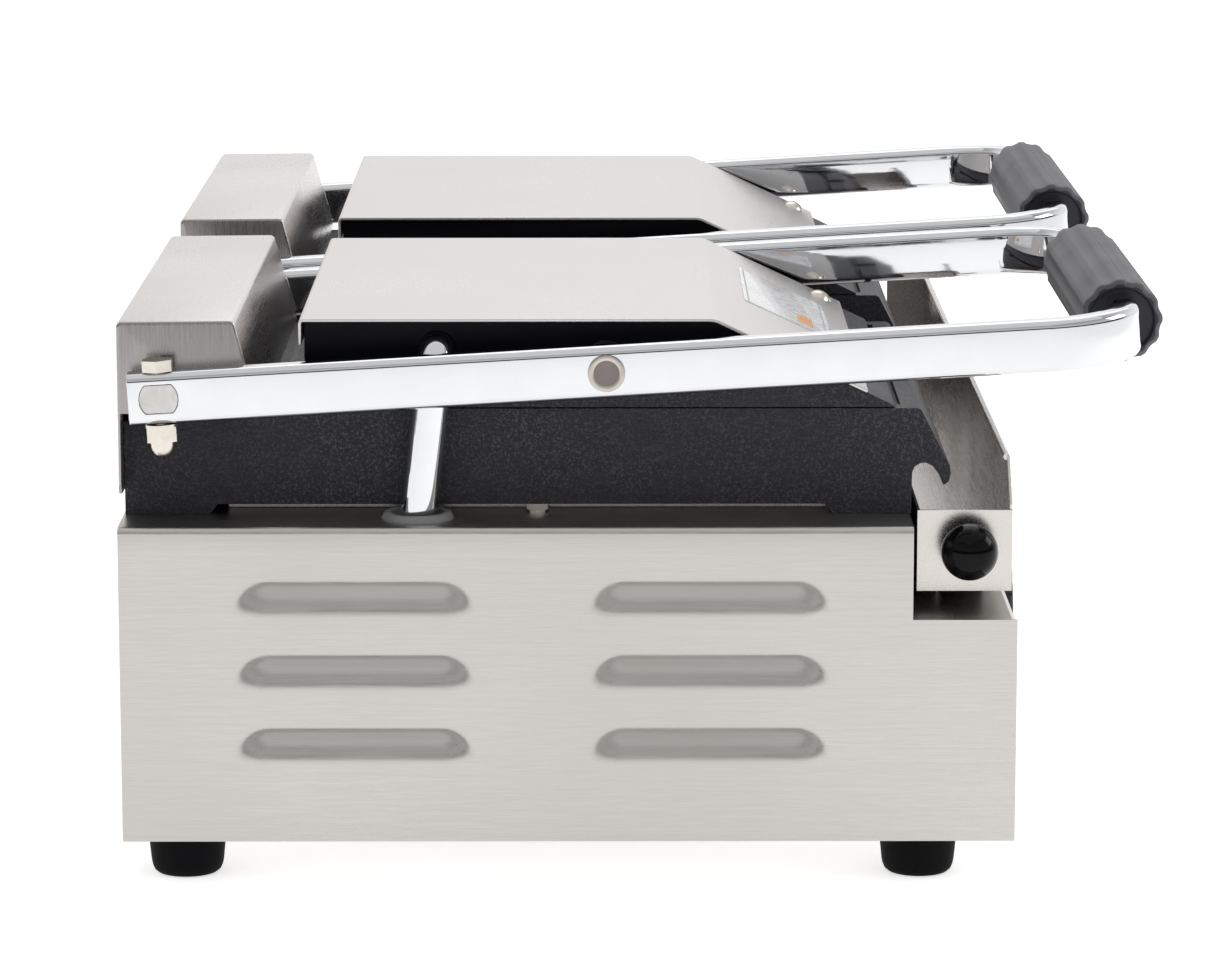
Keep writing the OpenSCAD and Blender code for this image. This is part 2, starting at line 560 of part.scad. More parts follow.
module upper_platen() difference() {
    union() {
        along_x(plate_in, plate_out) polygon([[108, up_z], [108, top_z], [-101.2, top_z], [-109.5, 186.2], [-113.2, 184.4], [-115, 183.3],
            [-124.2, up_z + 0.6], [-124.6, up_z]]);
        for (x = [plate_in + 5.4, plate_out - 13.2]) along_x(x, x + 7.8) {
            translate([py, pz]) circle(r = 9);
            translate([py - 11, top_z - 1]) square([22, pz - top_z + 1]);
        }
    }
    cyl_x(0, hw, py, pz, 5.05);
    at_cover_screws() translate([0, 0, -7]) cylinder(r = 2.02, h = 10);
    mirror([0, 0, 1]) grooves(plate_in + 9, plate_out - 9, -118, 102, -up_z, groove_h);
}
module shield2d(o) {
    z = cover_z - sheet - 0.1 - o;
    polygon([[100.5 - o, top_z - (o > 0 ? 2 : 0)], [100.5 - o, z], [yb + 0.9 + o * 0.4, z],
        [yb + 0.9 + o * 0.4 - (z - top_z + (o > 0 ? 2 : 0)) / slope, top_z - (o > 0 ? 2 : 0)]]);
}
module heat_shield() difference() {
    along_x(plate_in + 3.8, plate_out - 3.8) shield2d(0);
    along_x(plate_in + 5, plate_out - 5) shield2d(sheet);
    cyl_x(0, hw, py, pz, 8);
    cyl_x(200, hw, cy, cz, conduit_d / 2 + 0.05);
}
module cover() difference() {
    along_x(cov_in, cov_out) polygon([[102.3, 203], [102.3, cover_z - 1], [101.3, cover_z], [yb, cover_z],
        [-114, cover_z + (-114 - yb) * slope], [-113.5, cover_z - 1.07 + (-114 - yb) * slope],
        [yb + 0.3, cover_z - sheet], [101.1, cover_z - sheet], [101.1, 203]]);
    at_cover_screws() translate([0, 0, -4]) cylinder(r = 2.12, h = 8);
}
module at_cover_screws() for (x = [plate_in + 9, plate_out - 9]) translate([x, -105, cover_z + (-105 - yb) * slope])
    rotate([atan(slope), 0, 0]) children();
module cover_screws() at_cover_screws() {
    intersection() { translate([0, 0, -3.4]) sphere(r = 6); cylinder(r = 5, h = 6); }
    translate([0, 0, -6.4]) cylinder(r = 2, h = 6.5);
}
module upper_element() element(top_z + 4.05, -74, 88, plate_in + 26, plate_out - 30);
module upper_insulation() box(plate_in + 20, plate_out - 22, -54, 92, top_z + 8.2, cover_z - 4);
module conduit() translate([0, cy, cz]) rotate([cond_a, 0, 0]) difference() {
    union() {
        translate([cx, 0, -conduit_l]) cylinder(d = conduit_d, h = conduit_l - 8 + e);
        translate([cx - 8, 0, -8]) rotate([90, 0, 0]) rotate_extrude(angle = 90) translate([8, 0]) circle(d = conduit_d);
        cyl_x(cx - 16, cx - 8 + e, 0, 0, conduit_d / 2);
    }
    translate([cx, 0, -conduit_l - 1]) cylinder(d = conduit_d - 2.4, h = conduit_l - 7 + e);
    translate([cx - 8, 0, -8]) rotate([90, 0, 0]) rotate_extrude(angle = 90) translate([8, 0]) circle(d = conduit_d - 2.4);
    cyl_x(cx - 17, cx - 8 + e, 0, 0, conduit_d / 2 - 1.2);
}

module left_handle() color(chrome) place() unit(-1) handle();
module left_grip() color([0.22, 0.22, 0.23]) place() unit(-1) grip();
module left_hinge_shaft() color(nickel) place() unit(-1) hinge_shaft();
module left_hinge_bolts() color(nickel) place() unit(-1) hinge_bolts();
module left_pivot_pins() color([0.5, 0.48, 0.46]) place() unit(-1) pivot_pins();
module left_upper_platen() color(iron) place() unit(-1) upper_platen();
module left_upper_element() color([0.3, 0.3, 0.3]) place() unit(-1) upper_element();
module left_upper_insulation() color(wool) place() unit(-1) upper_insulation();
module left_heat_shield() color(black) place() unit(-1) heat_shield();
module left_cover() color(steel) place() unit(-1) cover();
module left_cover_screws() color(nickel) place() unit(-1) cover_screws();
module left_conduit() color(chrome) place() unit(-1) conduit();
module right_handle() color(chrome) place() unit(1) handle();
module right_grip() color([0.22, 0.22, 0.23]) place() unit(1) grip();
module right_hinge_shaft() color(nickel) place() unit(1) hinge_shaft();
module right_hinge_bolts() color(nickel) place() unit(1) hinge_bolts();
module right_pivot_pins() color([0.5, 0.48, 0.46]) place() unit(1) pivot_pins();
module right_upper_platen() color(iron) place() unit(1) upper_platen();
module right_upper_element() color([0.3, 0.3, 0.3]) place() unit(1) upper_element();
module right_upper_insulation() color(wool) place() unit(1) upper_insulation();
module right_heat_shield() color(black) place() unit(1) heat_shield();
module right_cover() color(steel) place() unit(1) cover();
module right_cover_screws() color(nickel) place() unit(1) cover_screws();
module right_conduit() color(chrome) place() unit(1) conduit();

base_housing();
front_panel();
rear_panel();
bottom_plate();
feet();
foot_screws();
panel_screws();
left_lower_platen();
right_lower_platen();
platen_studs();
element_pans();
lower_elements();
lower_insulation();
conduit_grommets();
left_spring_box();
right_spring_box();
hinge_brackets();
hinge_bushes();
torsion_springs();
spring_box_screws();
bracket_bolts();
terminal_block();
thermostats();
pilot_lamps();
rocker_frames();
cable_gland();
wiring_loom();
tray_rails();
drip_tray();
tray_knob();
left_dial();
left_spindle();
right_dial();
right_spindle();
left_rocker();
right_rocker();
left_handle();
left_grip();
left_hinge_shaft();
left_hinge_bolts();
left_pivot_pins();
left_upper_platen();
left_upper_element();
left_upper_insulation();
left_heat_shield();
left_cover();
left_cover_screws();
left_conduit();
right_handle();
right_grip();
right_hinge_shaft();
right_hinge_bolts();
right_pivot_pins();
right_upper_platen();
right_upper_element();
right_upper_insulation();
right_heat_shield();
right_cover();
right_cover_screws();
right_conduit();
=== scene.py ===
import bpy, bmesh, math, json
from mathutils import Vector, Matrix, noise


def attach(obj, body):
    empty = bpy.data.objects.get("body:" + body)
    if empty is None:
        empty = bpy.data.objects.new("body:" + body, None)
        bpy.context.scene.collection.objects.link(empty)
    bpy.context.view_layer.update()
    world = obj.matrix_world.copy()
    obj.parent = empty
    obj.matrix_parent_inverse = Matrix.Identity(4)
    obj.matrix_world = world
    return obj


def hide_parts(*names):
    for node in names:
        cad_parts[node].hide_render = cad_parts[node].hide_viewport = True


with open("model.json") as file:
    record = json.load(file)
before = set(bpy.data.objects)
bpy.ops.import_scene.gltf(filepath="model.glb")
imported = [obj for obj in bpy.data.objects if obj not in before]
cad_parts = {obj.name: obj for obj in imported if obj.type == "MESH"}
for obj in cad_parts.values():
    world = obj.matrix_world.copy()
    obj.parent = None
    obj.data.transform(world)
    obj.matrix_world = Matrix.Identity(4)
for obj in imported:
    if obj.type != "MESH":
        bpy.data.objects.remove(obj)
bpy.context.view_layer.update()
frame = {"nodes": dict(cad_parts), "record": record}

scene = bpy.context.scene
NODES = frame["nodes"]
YS = 24.986          # housing coordinates (mm) to row frame, along Y
HY, HZ = 153.7, 185.8
TILT = math.radians(3.35)
PY = -14.5
PZ = HZ + (HY - PY) * math.tan(TILT)


def P(x, y, z):
    """Housing millimetres to the row frame in metres."""
    return Vector((x, y + YS, z)) / 1000.0


# ------------------------------------------------------------------ materials
class NT:
    """Small helper that wires one node tree."""

    def __init__(self, name):
        self.mat = bpy.data.materials.new(name)
        self.mat.use_nodes = True
        self.t = self.mat.node_tree
        self.t.nodes.clear()
        self.out = self.t.nodes.new("ShaderNodeOutputMaterial")
        self.bsdf = self.t.nodes.new("ShaderNodeBsdfPrincipled")
        self.t.links.new(self.bsdf.outputs[0], self.out.inputs[0])
        self.co = self.t.nodes.new("ShaderNodeTexCoord")

    def set(self, **kw):
        for k, v in kw.items():
            self.bsdf.inputs[k.replace("_", " ")].default_value = v
        return self

    def link(self, a, b):
        self.t.links.new(a, b)

    def mapping(self, scale, rot=(0, 0, 0), loc=(0, 0, 0)):
        m = self.t.nodes.new("ShaderNodeMapping")
        m.inputs["Scale"].default_value = scale
        m.inputs["Rotation"].default_value = rot
        m.inputs["Location"].default_value = loc
        self.link(self.co.outputs["Object"], m.inputs["Vector"])
        return m.outputs[0]

    def noise(self, vec, scale=1.0, detail=3.0, rough=0.55, dist=0.0):
        n = self.t.nodes.new("ShaderNodeTexNoise")
        n.inputs["Scale"].default_value = scale
        n.inputs["Detail"].default_value = detail
        n.inputs["Roughness"].default_value = rough
        n.inputs["Distortion"].default_value = dist
        self.link(vec, n.inputs["Vector"])
        return n.outputs["Fac"]

    def voronoi(self, vec, scale=1.0, feature="F1"):
        n = self.t.nodes.new("ShaderNodeTexVoronoi")
        n.feature = feature
        n.inputs["Scale"].default_value = scale
        self.link(vec, n.inputs["Vector"])
        return n.outputs["Distance"]

    def ramp(self, fac, stops):
        r = self.t.nodes.new("ShaderNodeValToRGB")
        els = r.color_ramp.elements
        while len(els) < len(stops):
            els.new(0.5)
        for e, (p, c) in zip(els, stops):
            e.position = p
            e.color = (c, c, c, 1) if isinstance(c, (int, float)) else (*c, 1)
        self.link(fac, r.inputs[0])
        return r.outputs[0]

    def range(self, fac, a, b, lo=0.0, hi=1.0):
        r = self.t.nodes.new("ShaderNodeMapRange")
        r.inputs["From Min"].default_value = lo
        r.inputs["From Max"].default_value = hi
        r.inputs["To Min"].default_value = a
        r.inputs["To Max"].default_value = b
        self.link(fac, r.inputs["Value"])
        return r.outputs[0]

    def math(self, op, a, b):
        m = self.t.nodes.new("ShaderNodeMath")
        m.operation = op
        for i, v in enumerate((a, b)):
            if isinstance(v, (int, float)):
                m.inputs[i].default_value = v
            else:
                self.link(v, m.inputs[i])
        return m.outputs[0]

    def mix(self, fac, a, b):
        m = self.t.nodes.new("ShaderNodeMix")
        m.data_type = "RGBA"
        if isinstance(fac, (int, float)):
            m.inputs[0].default_value = fac
        else:
            self.link(fac, m.inputs[0])
        for i, v in ((6, a), (7, b)):
            if isinstance(v, (tuple, list)):
                m.inputs[i].default_value = (*v[:3], 1)
            else:
                self.link(v, m.inputs[i])
        return m.outputs[2]

    def bump(self, *layers):
        """layers: (height, distance in metres, strength)"""
        last = None
        for h, d, s in layers:
            b = self.t.nodes.new("ShaderNodeBump")
            b.inputs["Distance"].default_value = d
            b.inputs["Strength"].default_value = s
            self.link(h, b.inputs["Height"])
            if last is not None:
                self.link(last, b.inputs["Normal"])
            last = b.outputs[0]
        self.link(last, self.bsdf.inputs["Normal"])
        return self

    def color(self, c):
        self.link(c, self.bsdf.inputs["Base Color"])
        return self

    def roughness(self, r):
        self.link(r, self.bsdf.inputs["Roughness"])
        return self


def brushed(name, base, grain, rough=(0.26, 0.38), streak=0.10, smear=0.05, bump=0.18, tint=(1.0, 1.0, 1.0)):
    """Stainless sheet with a directional grain. grain is the axis the strokes run along."""
    n = NT(name)
    i = "XYZ".index(grain)
    fine = [2600.0] * 3
    fine[i] = 75.0
    mid = [900.0] * 3
    mid[i] = 26.0
    f = n.noise(n.mapping(tuple(fine)), 1.0, 3.0, 0.6)
    m = n.noise(n.mapping(tuple(mid)), 1.0, 3.0, 0.55)
    cloud = n.noise(n.mapping((9, 9, 9)), 1.0, 2.0, 0.5)
    lines = n.math("ADD", n.math("MULTIPLY", f, 0.6), n.math("MULTIPLY", m, 0.4))
    dark = tuple(c * (1 - streak) for c in base)
    light = tuple(min(1.0, c * (1 + streak)) for c in base)
    col = n.mix(n.range(lines, 0, 1, 0.36, 0.64), dark, light)
    warm = tuple(min(1.0, c * t) for c, t in zip(base, (1 + smear, 1.0, 1 - smear)))
    col = n.mix(n.range(cloud, 0.0, 0.30, 0.35, 0.7), col, warm)
    n.color(col)
    r = n.math("ADD", n.range(lines, rough[0], rough[1], 0.35, 0.65), n.range(cloud, -0.03, 0.04, 0.3, 0.7))
    n.roughness(r)
    n.bump((lines, 0.00004, bump))
    n.set(Metallic=1.0)
    return n.mat


def chrome_mat(name, base=(0.72, 0.73, 0.745), rough=0.03):
    n = NT(name)
    haze = n.noise(n.mapping((60, 60, 60)), 1.0, 3.0, 0.5)
    speck = n.noise(n.mapping((900, 900, 900)), 1.0, 2.0, 0.5)
    n.set(Metallic=1.0)
    n.color(n.mix(n.range(haze, 0, 1, 0.3, 0.7), tuple(c * 0.96 for c in base), base))
    n.roughness(n.math("ADD", n.range(haze, rough, rough + 0.05, 0.4, 0.75), n.range(speck, 0, 0.02, 0.55, 0.75)))
    n.bump((haze, 0.0004, 0.05))
    return n.mat


def metal(name, base, rough=(0.25, 0.4), scale=220, bump=0.1, metallic=1.0):
    n = NT(name)
    a = n.noise(n.mapping((scale,) * 3), 1.0, 4.0, 0.6)
    b = n.noise(n.mapping((45, 45, 45)), 1.0, 2.0, 0.5)
    n.set(Metallic=metallic)
    n.color(n.mix(n.range(b, 0, 1, 0.3, 0.7), tuple(c * 0.85 for c in base), base))
    n.roughness(n.range(a, rough[0], rough[1], 0.3, 0.7))
    n.bump((a, 0.00008, bump))
    return n.mat


def cast_iron(name, base=(0.0095, 0.0095, 0.0145)):
    """Enamelled casting: sandy grain, shallow drag lines, and the high points of the grain painted lighter as painted
    highlights.
    """
    n = NT(name)
    grain = n.noise(n.mapping((1500, 1500, 1500)), 1.0, 2.0, 0.6)
    coarse = n.noise(n.mapping((560, 700, 700)), 1.0, 3.0, 0.65, 0.5)
    drag = n.noise(n.mapping((380, 70, 640)), 1.0, 4.0, 0.65, 1.4)
    cloud = n.noise(n.mapping((22, 22, 30)), 1.0, 2.0, 0.5)
    h = n.math("ADD", n.math("MULTIPLY", grain, 0.55), n.math("MULTIPLY", coarse, 0.45))
    amount = n.range(cloud, 0.35, 1.0, 0.35, 0.65)
    # painted highlight: the high points of the grain height are coloured lighter
    peak_highlight = n.math("MULTIPLY", n.range(h, 0, 1, 0.505, 0.575), amount)
    lines = n.math("MULTIPLY", n.range(drag, 0, 1, 0.53, 0.62), n.range(cloud, 1.0, 0.1, 0.38, 0.6))
    col = n.mix(peak_highlight, base, (0.066, 0.066, 0.082))
    col = n.mix(n.math("MULTIPLY", lines, 0.30), col, (0.060, 0.060, 0.070))
    n.color(col)
    n.roughness(n.math("ADD", n.range(coarse, 0.34, 0.52, 0.3, 0.7), n.range(cloud, -0.05, 0.07, 0.3, 0.7)))
    n.bump((drag, 0.0010, 0.35), (coarse, 0.0012, 0.75), (grain, 0.0005, 0.60))
    n.set(Metallic=0.0, **{"Specular_IOR_Level": 0.42})
    return n.mat


def plastic(name, base, rough=(0.4, 0.5), grain=1600, bump=0.2, spec=0.5, coat=0.0):
    n = NT(name)
    a = n.noise(n.mapping((grain,) * 3), 1.0, 2.0, 0.5)
    b = n.noise(n.mapping((30, 30, 30)), 1.0, 3.0, 0.5)
    n.color(n.mix(n.range(b, 0, 1, 0.3, 0.7), tuple(c * 0.88 for c in base), tuple(min(1, c * 1.08) for c in base)))
    n.roughness(n.range(b, rough[0], rough[1], 0.3, 0.7))
    n.bump((a, 0.00012, bump))
    n.set(**{"Specular_IOR_Level": spec, "Coat_Weight": coat})
    return n.mat


def wool_mat(name):
    n = NT(name)
    a = n.noise(n.mapping((300, 60, 300)), 1.0, 6.0, 0.7, 1.5)
    n.color(n.mix(n.range(a, 0, 1, 0.3, 0.7), (0.62, 0.58, 0.48), (0.84, 0.81, 0.74)))
    n.bump((a, 0.0012, 0.7))
    n.set(Roughness=0.95, **{"Specular_IOR_Level": 0.1})
    return n.mat


MAT = {
    "stainless_housing": brushed("stainless_housing", (0.560, 0.540, 0.520), "Y", (0.27, 0.38), 0.085, 0.02, 0.20),
    "stainless_front": brushed("stainless_front", (0.560, 0.540, 0.520), "X", (0.27, 0.38), 0.085, 0.02, 0.20),
    "stainless_box": brushed("stainless_box", (0.64, 0.612, 0.596), "X", (0.25, 0.34), 0.05, 0.02, 0.06),
    # the box end material has a darker base than stainless_box: painted shade standing in for the darker reflection on
    # the end faces
    "stainless_box_end_painted_shade": brushed("stainless_box_end_painted_shade", (0.36, 0.345, 0.34), "Z", (0.22, 0.34), 0.15, 0.03, 0.30),
    "stainless_cover": brushed("stainless_cover", (0.640, 0.616, 0.602), "X", (0.27, 0.34), 0.030, 0.012, 0.035),
    "stainless_tray": brushed("stainless_tray", (0.620, 0.592, 0.568), "X", (0.19, 0.30), 0.09, 0.02, 0.12),
    "stainless_tray_end": brushed("stainless_tray_end", (0.53, 0.50, 0.455), "Z", (0.20, 0.33), 0.13, 0.03, 0.28),
    "black_rubber": plastic("black_rubber", (0.005, 0.005, 0.006), (0.5, 0.65), 900, 0.3, 0.05),
    "bright_fasteners": metal("bright_fasteners", (0.72, 0.67, 0.60), (0.16, 0.30), 300, 0.12),
    "shaft_steel": metal("shaft_steel", (0.70, 0.69, 0.67), (0.30, 0.50), 420, 0.35),
    "pivot_caps": metal("pivot_caps", (0.24, 0.215, 0.20), (0.38, 0.52), 300, 0.2),
    "pivot_ring": metal("pivot_ring", (0.58, 0.54, 0.49), (0.28, 0.42), 300, 0.15),
    "black_cast_iron": cast_iron("black_cast_iron"),
    "heater_sheath": metal("heater_sheath", (0.10, 0.10, 0.10), (0.4, 0.6), 300, 0.3),
    "ceramic_wool": wool_mat("ceramic_wool"),
    "grey_plastic": plastic("grey_plastic", (0.26, 0.255, 0.26), (0.35, 0.48), 1200, 0.15),
    "zinc_steel": metal("zinc_steel", (0.50, 0.50, 0.50), (0.3, 0.5), 60, 0.1),
    "bronze": metal("bronze", (0.55, 0.36, 0.16), (0.35, 0.5), 500, 0.2),
    "spring_steel": metal("spring_steel", (0.12, 0.12, 0.13), (0.35, 0.5), 300, 0.2),
    "white_plastic": plastic("white_plastic", (0.74, 0.73, 0.69), (0.4, 0.5), 600, 0.1),
    "black_plastic": plastic("black_plastic", (0.018, 0.018, 0.020), (0.34, 0.46), 1400, 0.18),
    "black_phenolic": plastic("black_phenolic", (0.003, 0.003, 0.0035), (0.05, 0.11), 300, 0.02, 0.12, 0.0),
    "chrome_tube": chrome_mat("chrome_tube"),
    "grip_plastic": plastic("grip_plastic", (0.120, 0.114, 0.124), (0.46, 0.60), 1500, 0.5, 0.34),
    "grip_end": plastic("grip_end", (0.026, 0.026, 0.034), (0.42, 0.55), 1500, 0.4, 0.4),
    "black_sheet": plastic("black_sheet", (0.0030, 0.0030, 0.0065), (0.26, 0.38), 260, 0.12, 0.10),
    # dark_gap is a near-black fill put in narrow gaps: painted shade standing in for the shadow inside them
    "dark_gap": plastic("dark_gap", (0.004, 0.004, 0.004), (0.7, 0.8), 600, 0.1, 0.2),
    "marking": plastic("marking", (0.030, 0.030, 0.032), (0.45, 0.55), 900, 0.05),
    "white_mark": plastic("white_mark", (0.80, 0.80, 0.79), (0.4, 0.5), 900, 0.05),
}


def lamp_mat(name, tint):
    n = NT(name)
    c = n.voronoi(n.mapping((900, 900, 900)), 1.0)
    n.color(n.mix(n.range(c, 0, 1, 0.0, 0.6), tuple(t * 0.55 for t in tint), tint))
    n.roughness(n.range(c, 0.08, 0.2, 0, 0.7))
    n.bump((c, 0.0004, 0.3))
    n.set(**{"Transmission_Weight": 0.25, "Coat_Weight": 0.4})
    return n.mat


MAT["lamp_lens"] = lamp_mat("lamp_lens", (0.75, 0.22, 0.03))
MAT["lamp_green"] = lamp_mat("lamp_green", (0.05, 0.42, 0.12))


def label_mat():
    """Blank satin foil label: no lettering, only a border and two plain bands."""
    n = NT("blank_label")
    a = n.noise(n.mapping((260, 260, 260)), 1.0, 3.0, 0.5)
    b = n.noise(n.mapping((40, 14, 40)), 1.0, 3.0, 0.5, 0.8)
    n.color(n.mix(n.range(b, 0, 1, 0.35, 0.65), (0.78, 0.78, 0.80), (0.94, 0.94, 0.95)))
    n.roughness(n.range(a, 0.20, 0.34, 0.3, 0.7))
    n.bump((b, 0.0006, 0.15))
    n.set(Metallic=0.25, **{"Coat_Weight": 0.4})
    return n.mat


MAT["blank_label"] = label_mat()


# ------------------------------------------------------------------ mesh helpers
def add(name, me, mats, body, smooth=True, sharp=35.0):
    ob = bpy.data.objects.new(name, me)
    scene.collection.objects.link(ob)
    for m in (mats if isinstance(mats, (list, tuple)) else [mats]):
        me.materials.append(MAT[m])
    if smooth:
        me.shade_smooth()
        if sharp:
            me.set_sharp_from_angle(angle=math.radians(sharp))
    ob["body_"] = body
    return ob


def mesh(name, verts, faces, flip=False):
    me = bpy.data.meshes.new(name)
    me.from_pydata([tuple(v) for v in verts], [], [tuple(f) for f in faces])
    me.validate()
    bm = bmesh.new()
    bm.from_mesh(me)
    bmesh.ops.remove_doubles(bm, verts=bm.verts, dist=1e-6)
    bmesh.ops.recalc_face_normals(bm, faces=bm.faces)
    if flip:
        bmesh.ops.reverse_faces(bm, faces=bm.faces)
    bm.to_mesh(me)
    bm.free()
    return me


def bevel(ob, w, seg=3, angle=30, harden=True):
    m = ob.modifiers.new("bevel", "BEVEL")
    m.width = w / 1000
    m.segments = seg
    m.limit_method = "ANGLE"
    m.angle_limit = math.radians(angle)
    m.harden_normals = harden
    m.miter_outer = "MITER_ARC"
    return m


def solidify(ob, t, offset=-1.0):
    m = ob.modifiers.new("solid", "SOLIDIFY")
    m.thickness = t / 1000
    m.offset = offset
    m.use_even_offset = True
    return m


def bake(ob):
    """Applies the modifiers of a new piece to its mesh."""
    dg = bpy.context.evaluated_depsgraph_get()
    dg.update()
    me = bpy.data.meshes.new_from_object(ob.evaluated_get(dg), preserve_all_data_layers=True, depsgraph=dg)
    ob.modifiers.clear()
    old = ob.data
    ob.data = me
    bpy.data.meshes.remove(old)
    return ob


def cut(ob, cutters, op="DIFFERENCE"):
    for c in cutters:
        m = ob.modifiers.new("cut", "BOOLEAN")
        m.operation = op
        m.solver = "EXACT"
        m.object = c
    bake(ob)
    for c in cutters:
        me = c.data
        bpy.data.objects.remove(c)
        bpy.data.meshes.remove(me)
    return ob


def raw(me):
    ob = bpy.data.objects.new("cutter", me)
    scene.collection.objects.link(ob)
    return ob


def done(ob, *nodes, body=None):
    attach(ob, body or ob["body_"])
    if "body_" in ob:
        del ob["body_"]
    if nodes:
        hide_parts(*nodes)
    return ob


def fillet(pts, radii, seg=6, closed=False):
    """2D polyline with rounded corners; radii is one number or one a point."""
    n = len(pts)
    if isinstance(radii, (int, float)):
        radii = [radii] * n
    out = []
    for i in range(n):
        p = Vector(pts[i])
        r = radii[i]
        if (not closed and i in (0, n - 1)) or r <= 0:
            out.append(p)
            continue
        a = Vector(pts[i - 1]) - p
        b = Vector(pts[(i + 1) % n]) - p
        la, lb = a.length, b.length
        a.normalize(), b.normalize()
        ang = a.angle(b)
        if ang > math.pi - 0.01:
            out.append(p)
            continue
        d = min(r / math.tan(ang / 2), la * 0.49, lb * 0.49)
        rr = d * math.tan(ang / 2)
        c = p + (a + b).normalized() * (rr / math.sin(ang / 2))
        s, e = p + a * d - c, p + b * d - c
        tot = s.angle(e)
        cr = s.x * e.y - s.y * e.x
        for k in range(seg + 1):
            t = tot * k / seg * (1 if cr > 0 else -1)
            out.append(c + Vector((s.x * math.cos(t) - s.y * math.sin(t), s.x * math.sin(t) + s.y * math.cos(t))))
    return out


def prism_x(name, yz, x0, x1, flip=False):
    """Closed prism: the (Y, Z) outline in housing mm, swept from x0 to x1."""
    n = len(yz)
    v = [P(x0, y, z) for y, z in yz] + [P(x1, y, z) for y, z in yz]
    f = [tuple(range(n)), tuple(range(2 * n - 1, n - 1, -1))]
    f += [(i, (i + 1) % n, n + (i + 1) % n, n + i) for i in range(n)]
    return mesh(name, v, f, flip)


def ribbon_x(name, yz, x0, x1, nx=1):
    """Open surface along a (Y, Z) path."""
    n = len(yz)
    xs = [x0 + (x1 - x0) * i / nx for i in range(nx + 1)]
    v = [P(x, y, z) for x in xs for y, z in yz]
    f = [(j * n + i, j * n + i + 1, (j + 1) * n + i + 1, (j + 1) * n + i) for j in range(nx) for i in range(n - 1)]
    me = bpy.data.meshes.new(name)
    me.from_pydata([tuple(p) for p in v], [], f)
    return me


def lathe(name, prof, seg=48, origin=(0, 0, 0), axis="Z", cap=True):
    """Profile [(r, h)] turned about an axis through origin (housing mm)."""
    ox, oy, oz = origin
    rings = []
    v = []
    for r, h in prof:
        if r <= 1e-6:
            rings.append([len(v)])
            v.append((0, 0, h))
        else:
            rings.append(list(range(len(v), len(v) + seg)))
            v += [(r * math.cos(2 * math.pi * k / seg), r * math.sin(2 * math.pi * k / seg), h) for k in range(seg)]
    f = []
    for a, b in zip(rings, rings[1:]):
        for k in range(seg):
            k2 = (k + 1) % seg
            if len(a) == 1 and len(b) == 1:
                continue
            if len(a) == 1:
                f.append((a[0], b[k], b[k2]))
            elif len(b) == 1:
                f.append((a[k], a[k2], b[0]))
            else:
                f.append((a[k], a[k2], b[k2], b[k]))
    rot = {"Z": lambda p: p, "X": lambda p: (p[2], p[0], p[1]), "-X": lambda p: (-p[2], -p[0], p[1]), "Y": lambda p: (p[0], p[2], -p[1]), "-Y": lambda p: (p[0], -p[2], p[1])}[axis]
    v = [P(*(a + b for a, b in zip(rot(p), (ox, oy, oz)))) for p in v]
    return mesh(name, v, f)


def sweep(name, path, frames, prof, closed_ends=True):
    """path: points (mm, any frame); frames: (side, up) vectors a point; prof: [(a, b)]"""
    n = len(prof)
    v = []
    for p, (s, u) in zip(path, frames):
        v += [p + s * a + u * b for a, b in prof]
    f = []
    for i in range(len(path) - 1):
        for j in range(n):
            k = (j + 1) % n
            f.append((i * n + j, i * n + k, (i + 1) * n + k, (i + 1) * n + j))
    if closed_ends:
        f.append(tuple(range(n)))
        f.append(tuple(range((len(path) - 1) * n + n - 1, (len(path) - 1) * n - 1, -1)))
    return v, f


def rrect(w, h, r, seg=6):
    pts = [(-w / 2, -h / 2), (w / 2, -h / 2), (w / 2, h / 2), (-w / 2, h / 2)]
    return [tuple(p) for p in fillet(pts, r, seg, closed=True)]


def lid(p):
    """Lid frame (x, forward along -Y, up) to the row frame."""
    x, y, z = p
    c, s = math.cos(-TILT), math.sin(-TILT)
    return P(x, HY + y * c - z * s, HZ + y * s + z * c)


def mirror_mesh(me, name):
    m2 = me.copy()
    m2.name = name
    for v in m2.vertices:
        v.co.x = -v.co.x
    m2.flip_normals()
    return m2


def join(meshes, name, mat_ids=None):
    """Joins meshes to one; mat_ids gives each its material index."""
    bm = bmesh.new()
    for i, me in enumerate(meshes):
        k = len(bm.faces)
        bm.from_mesh(me)
        bm.faces.ensure_lookup_table()
        if mat_ids:
            for f in bm.faces[k:]:
                f.material_index = mat_ids[i]
    me = bpy.data.meshes.new(name)
    bm.to_mesh(me)
    bm.free()
    for m in meshes:
        bpy.data.meshes.remove(m)
    return me


def both(name, build, mats, body, node, sharp=35.0, finish=None):
    """Builds the right piece from build() and its mirror image for the left."""
    made = []
    for side, s in (("right", 1), ("left", -1)):
        me = build(f"{side}_{name}_mesh")
        ob = add(f"{side}_{name}_detail", me, mats, f"{side}_{body}" if body != "root" else "root", sharp=sharp)
        if finish:
            finish(ob)
        if s < 0:
            bake(ob)
            for v in ob.data.vertices:
                v.co.x = -v.co.x
            ob.data.flip_normals()
        done(ob, *( [f"{side}_{node}"] if node else []))
        made.append(ob)
    return made

# ------------------------------------------------------------------ CAD nodes: materials and edge work
SLOT = {e["node"]: e["material_slot"] for e in frame["record"]["subparts"]}


def dress(node, width=0.35, seg=2, angle=30):
    ob = NODES[node]
    ob.data.materials.clear()
    ob.data.materials.append(MAT[SLOT[node]])
    if width:
        w = ob.modifiers.new("weld", "WELD")
        w.merge_threshold = 0.000002
        d = ob.modifiers.new("planar", "DECIMATE")
        d.decimate_type = "DISSOLVE"
        d.angle_limit = math.radians(0.5)
        b = bevel(ob, width, seg, angle)
        wn = ob.modifiers.new("normals", "WEIGHTED_NORMAL")
        wn.keep_sharp = True
    return ob


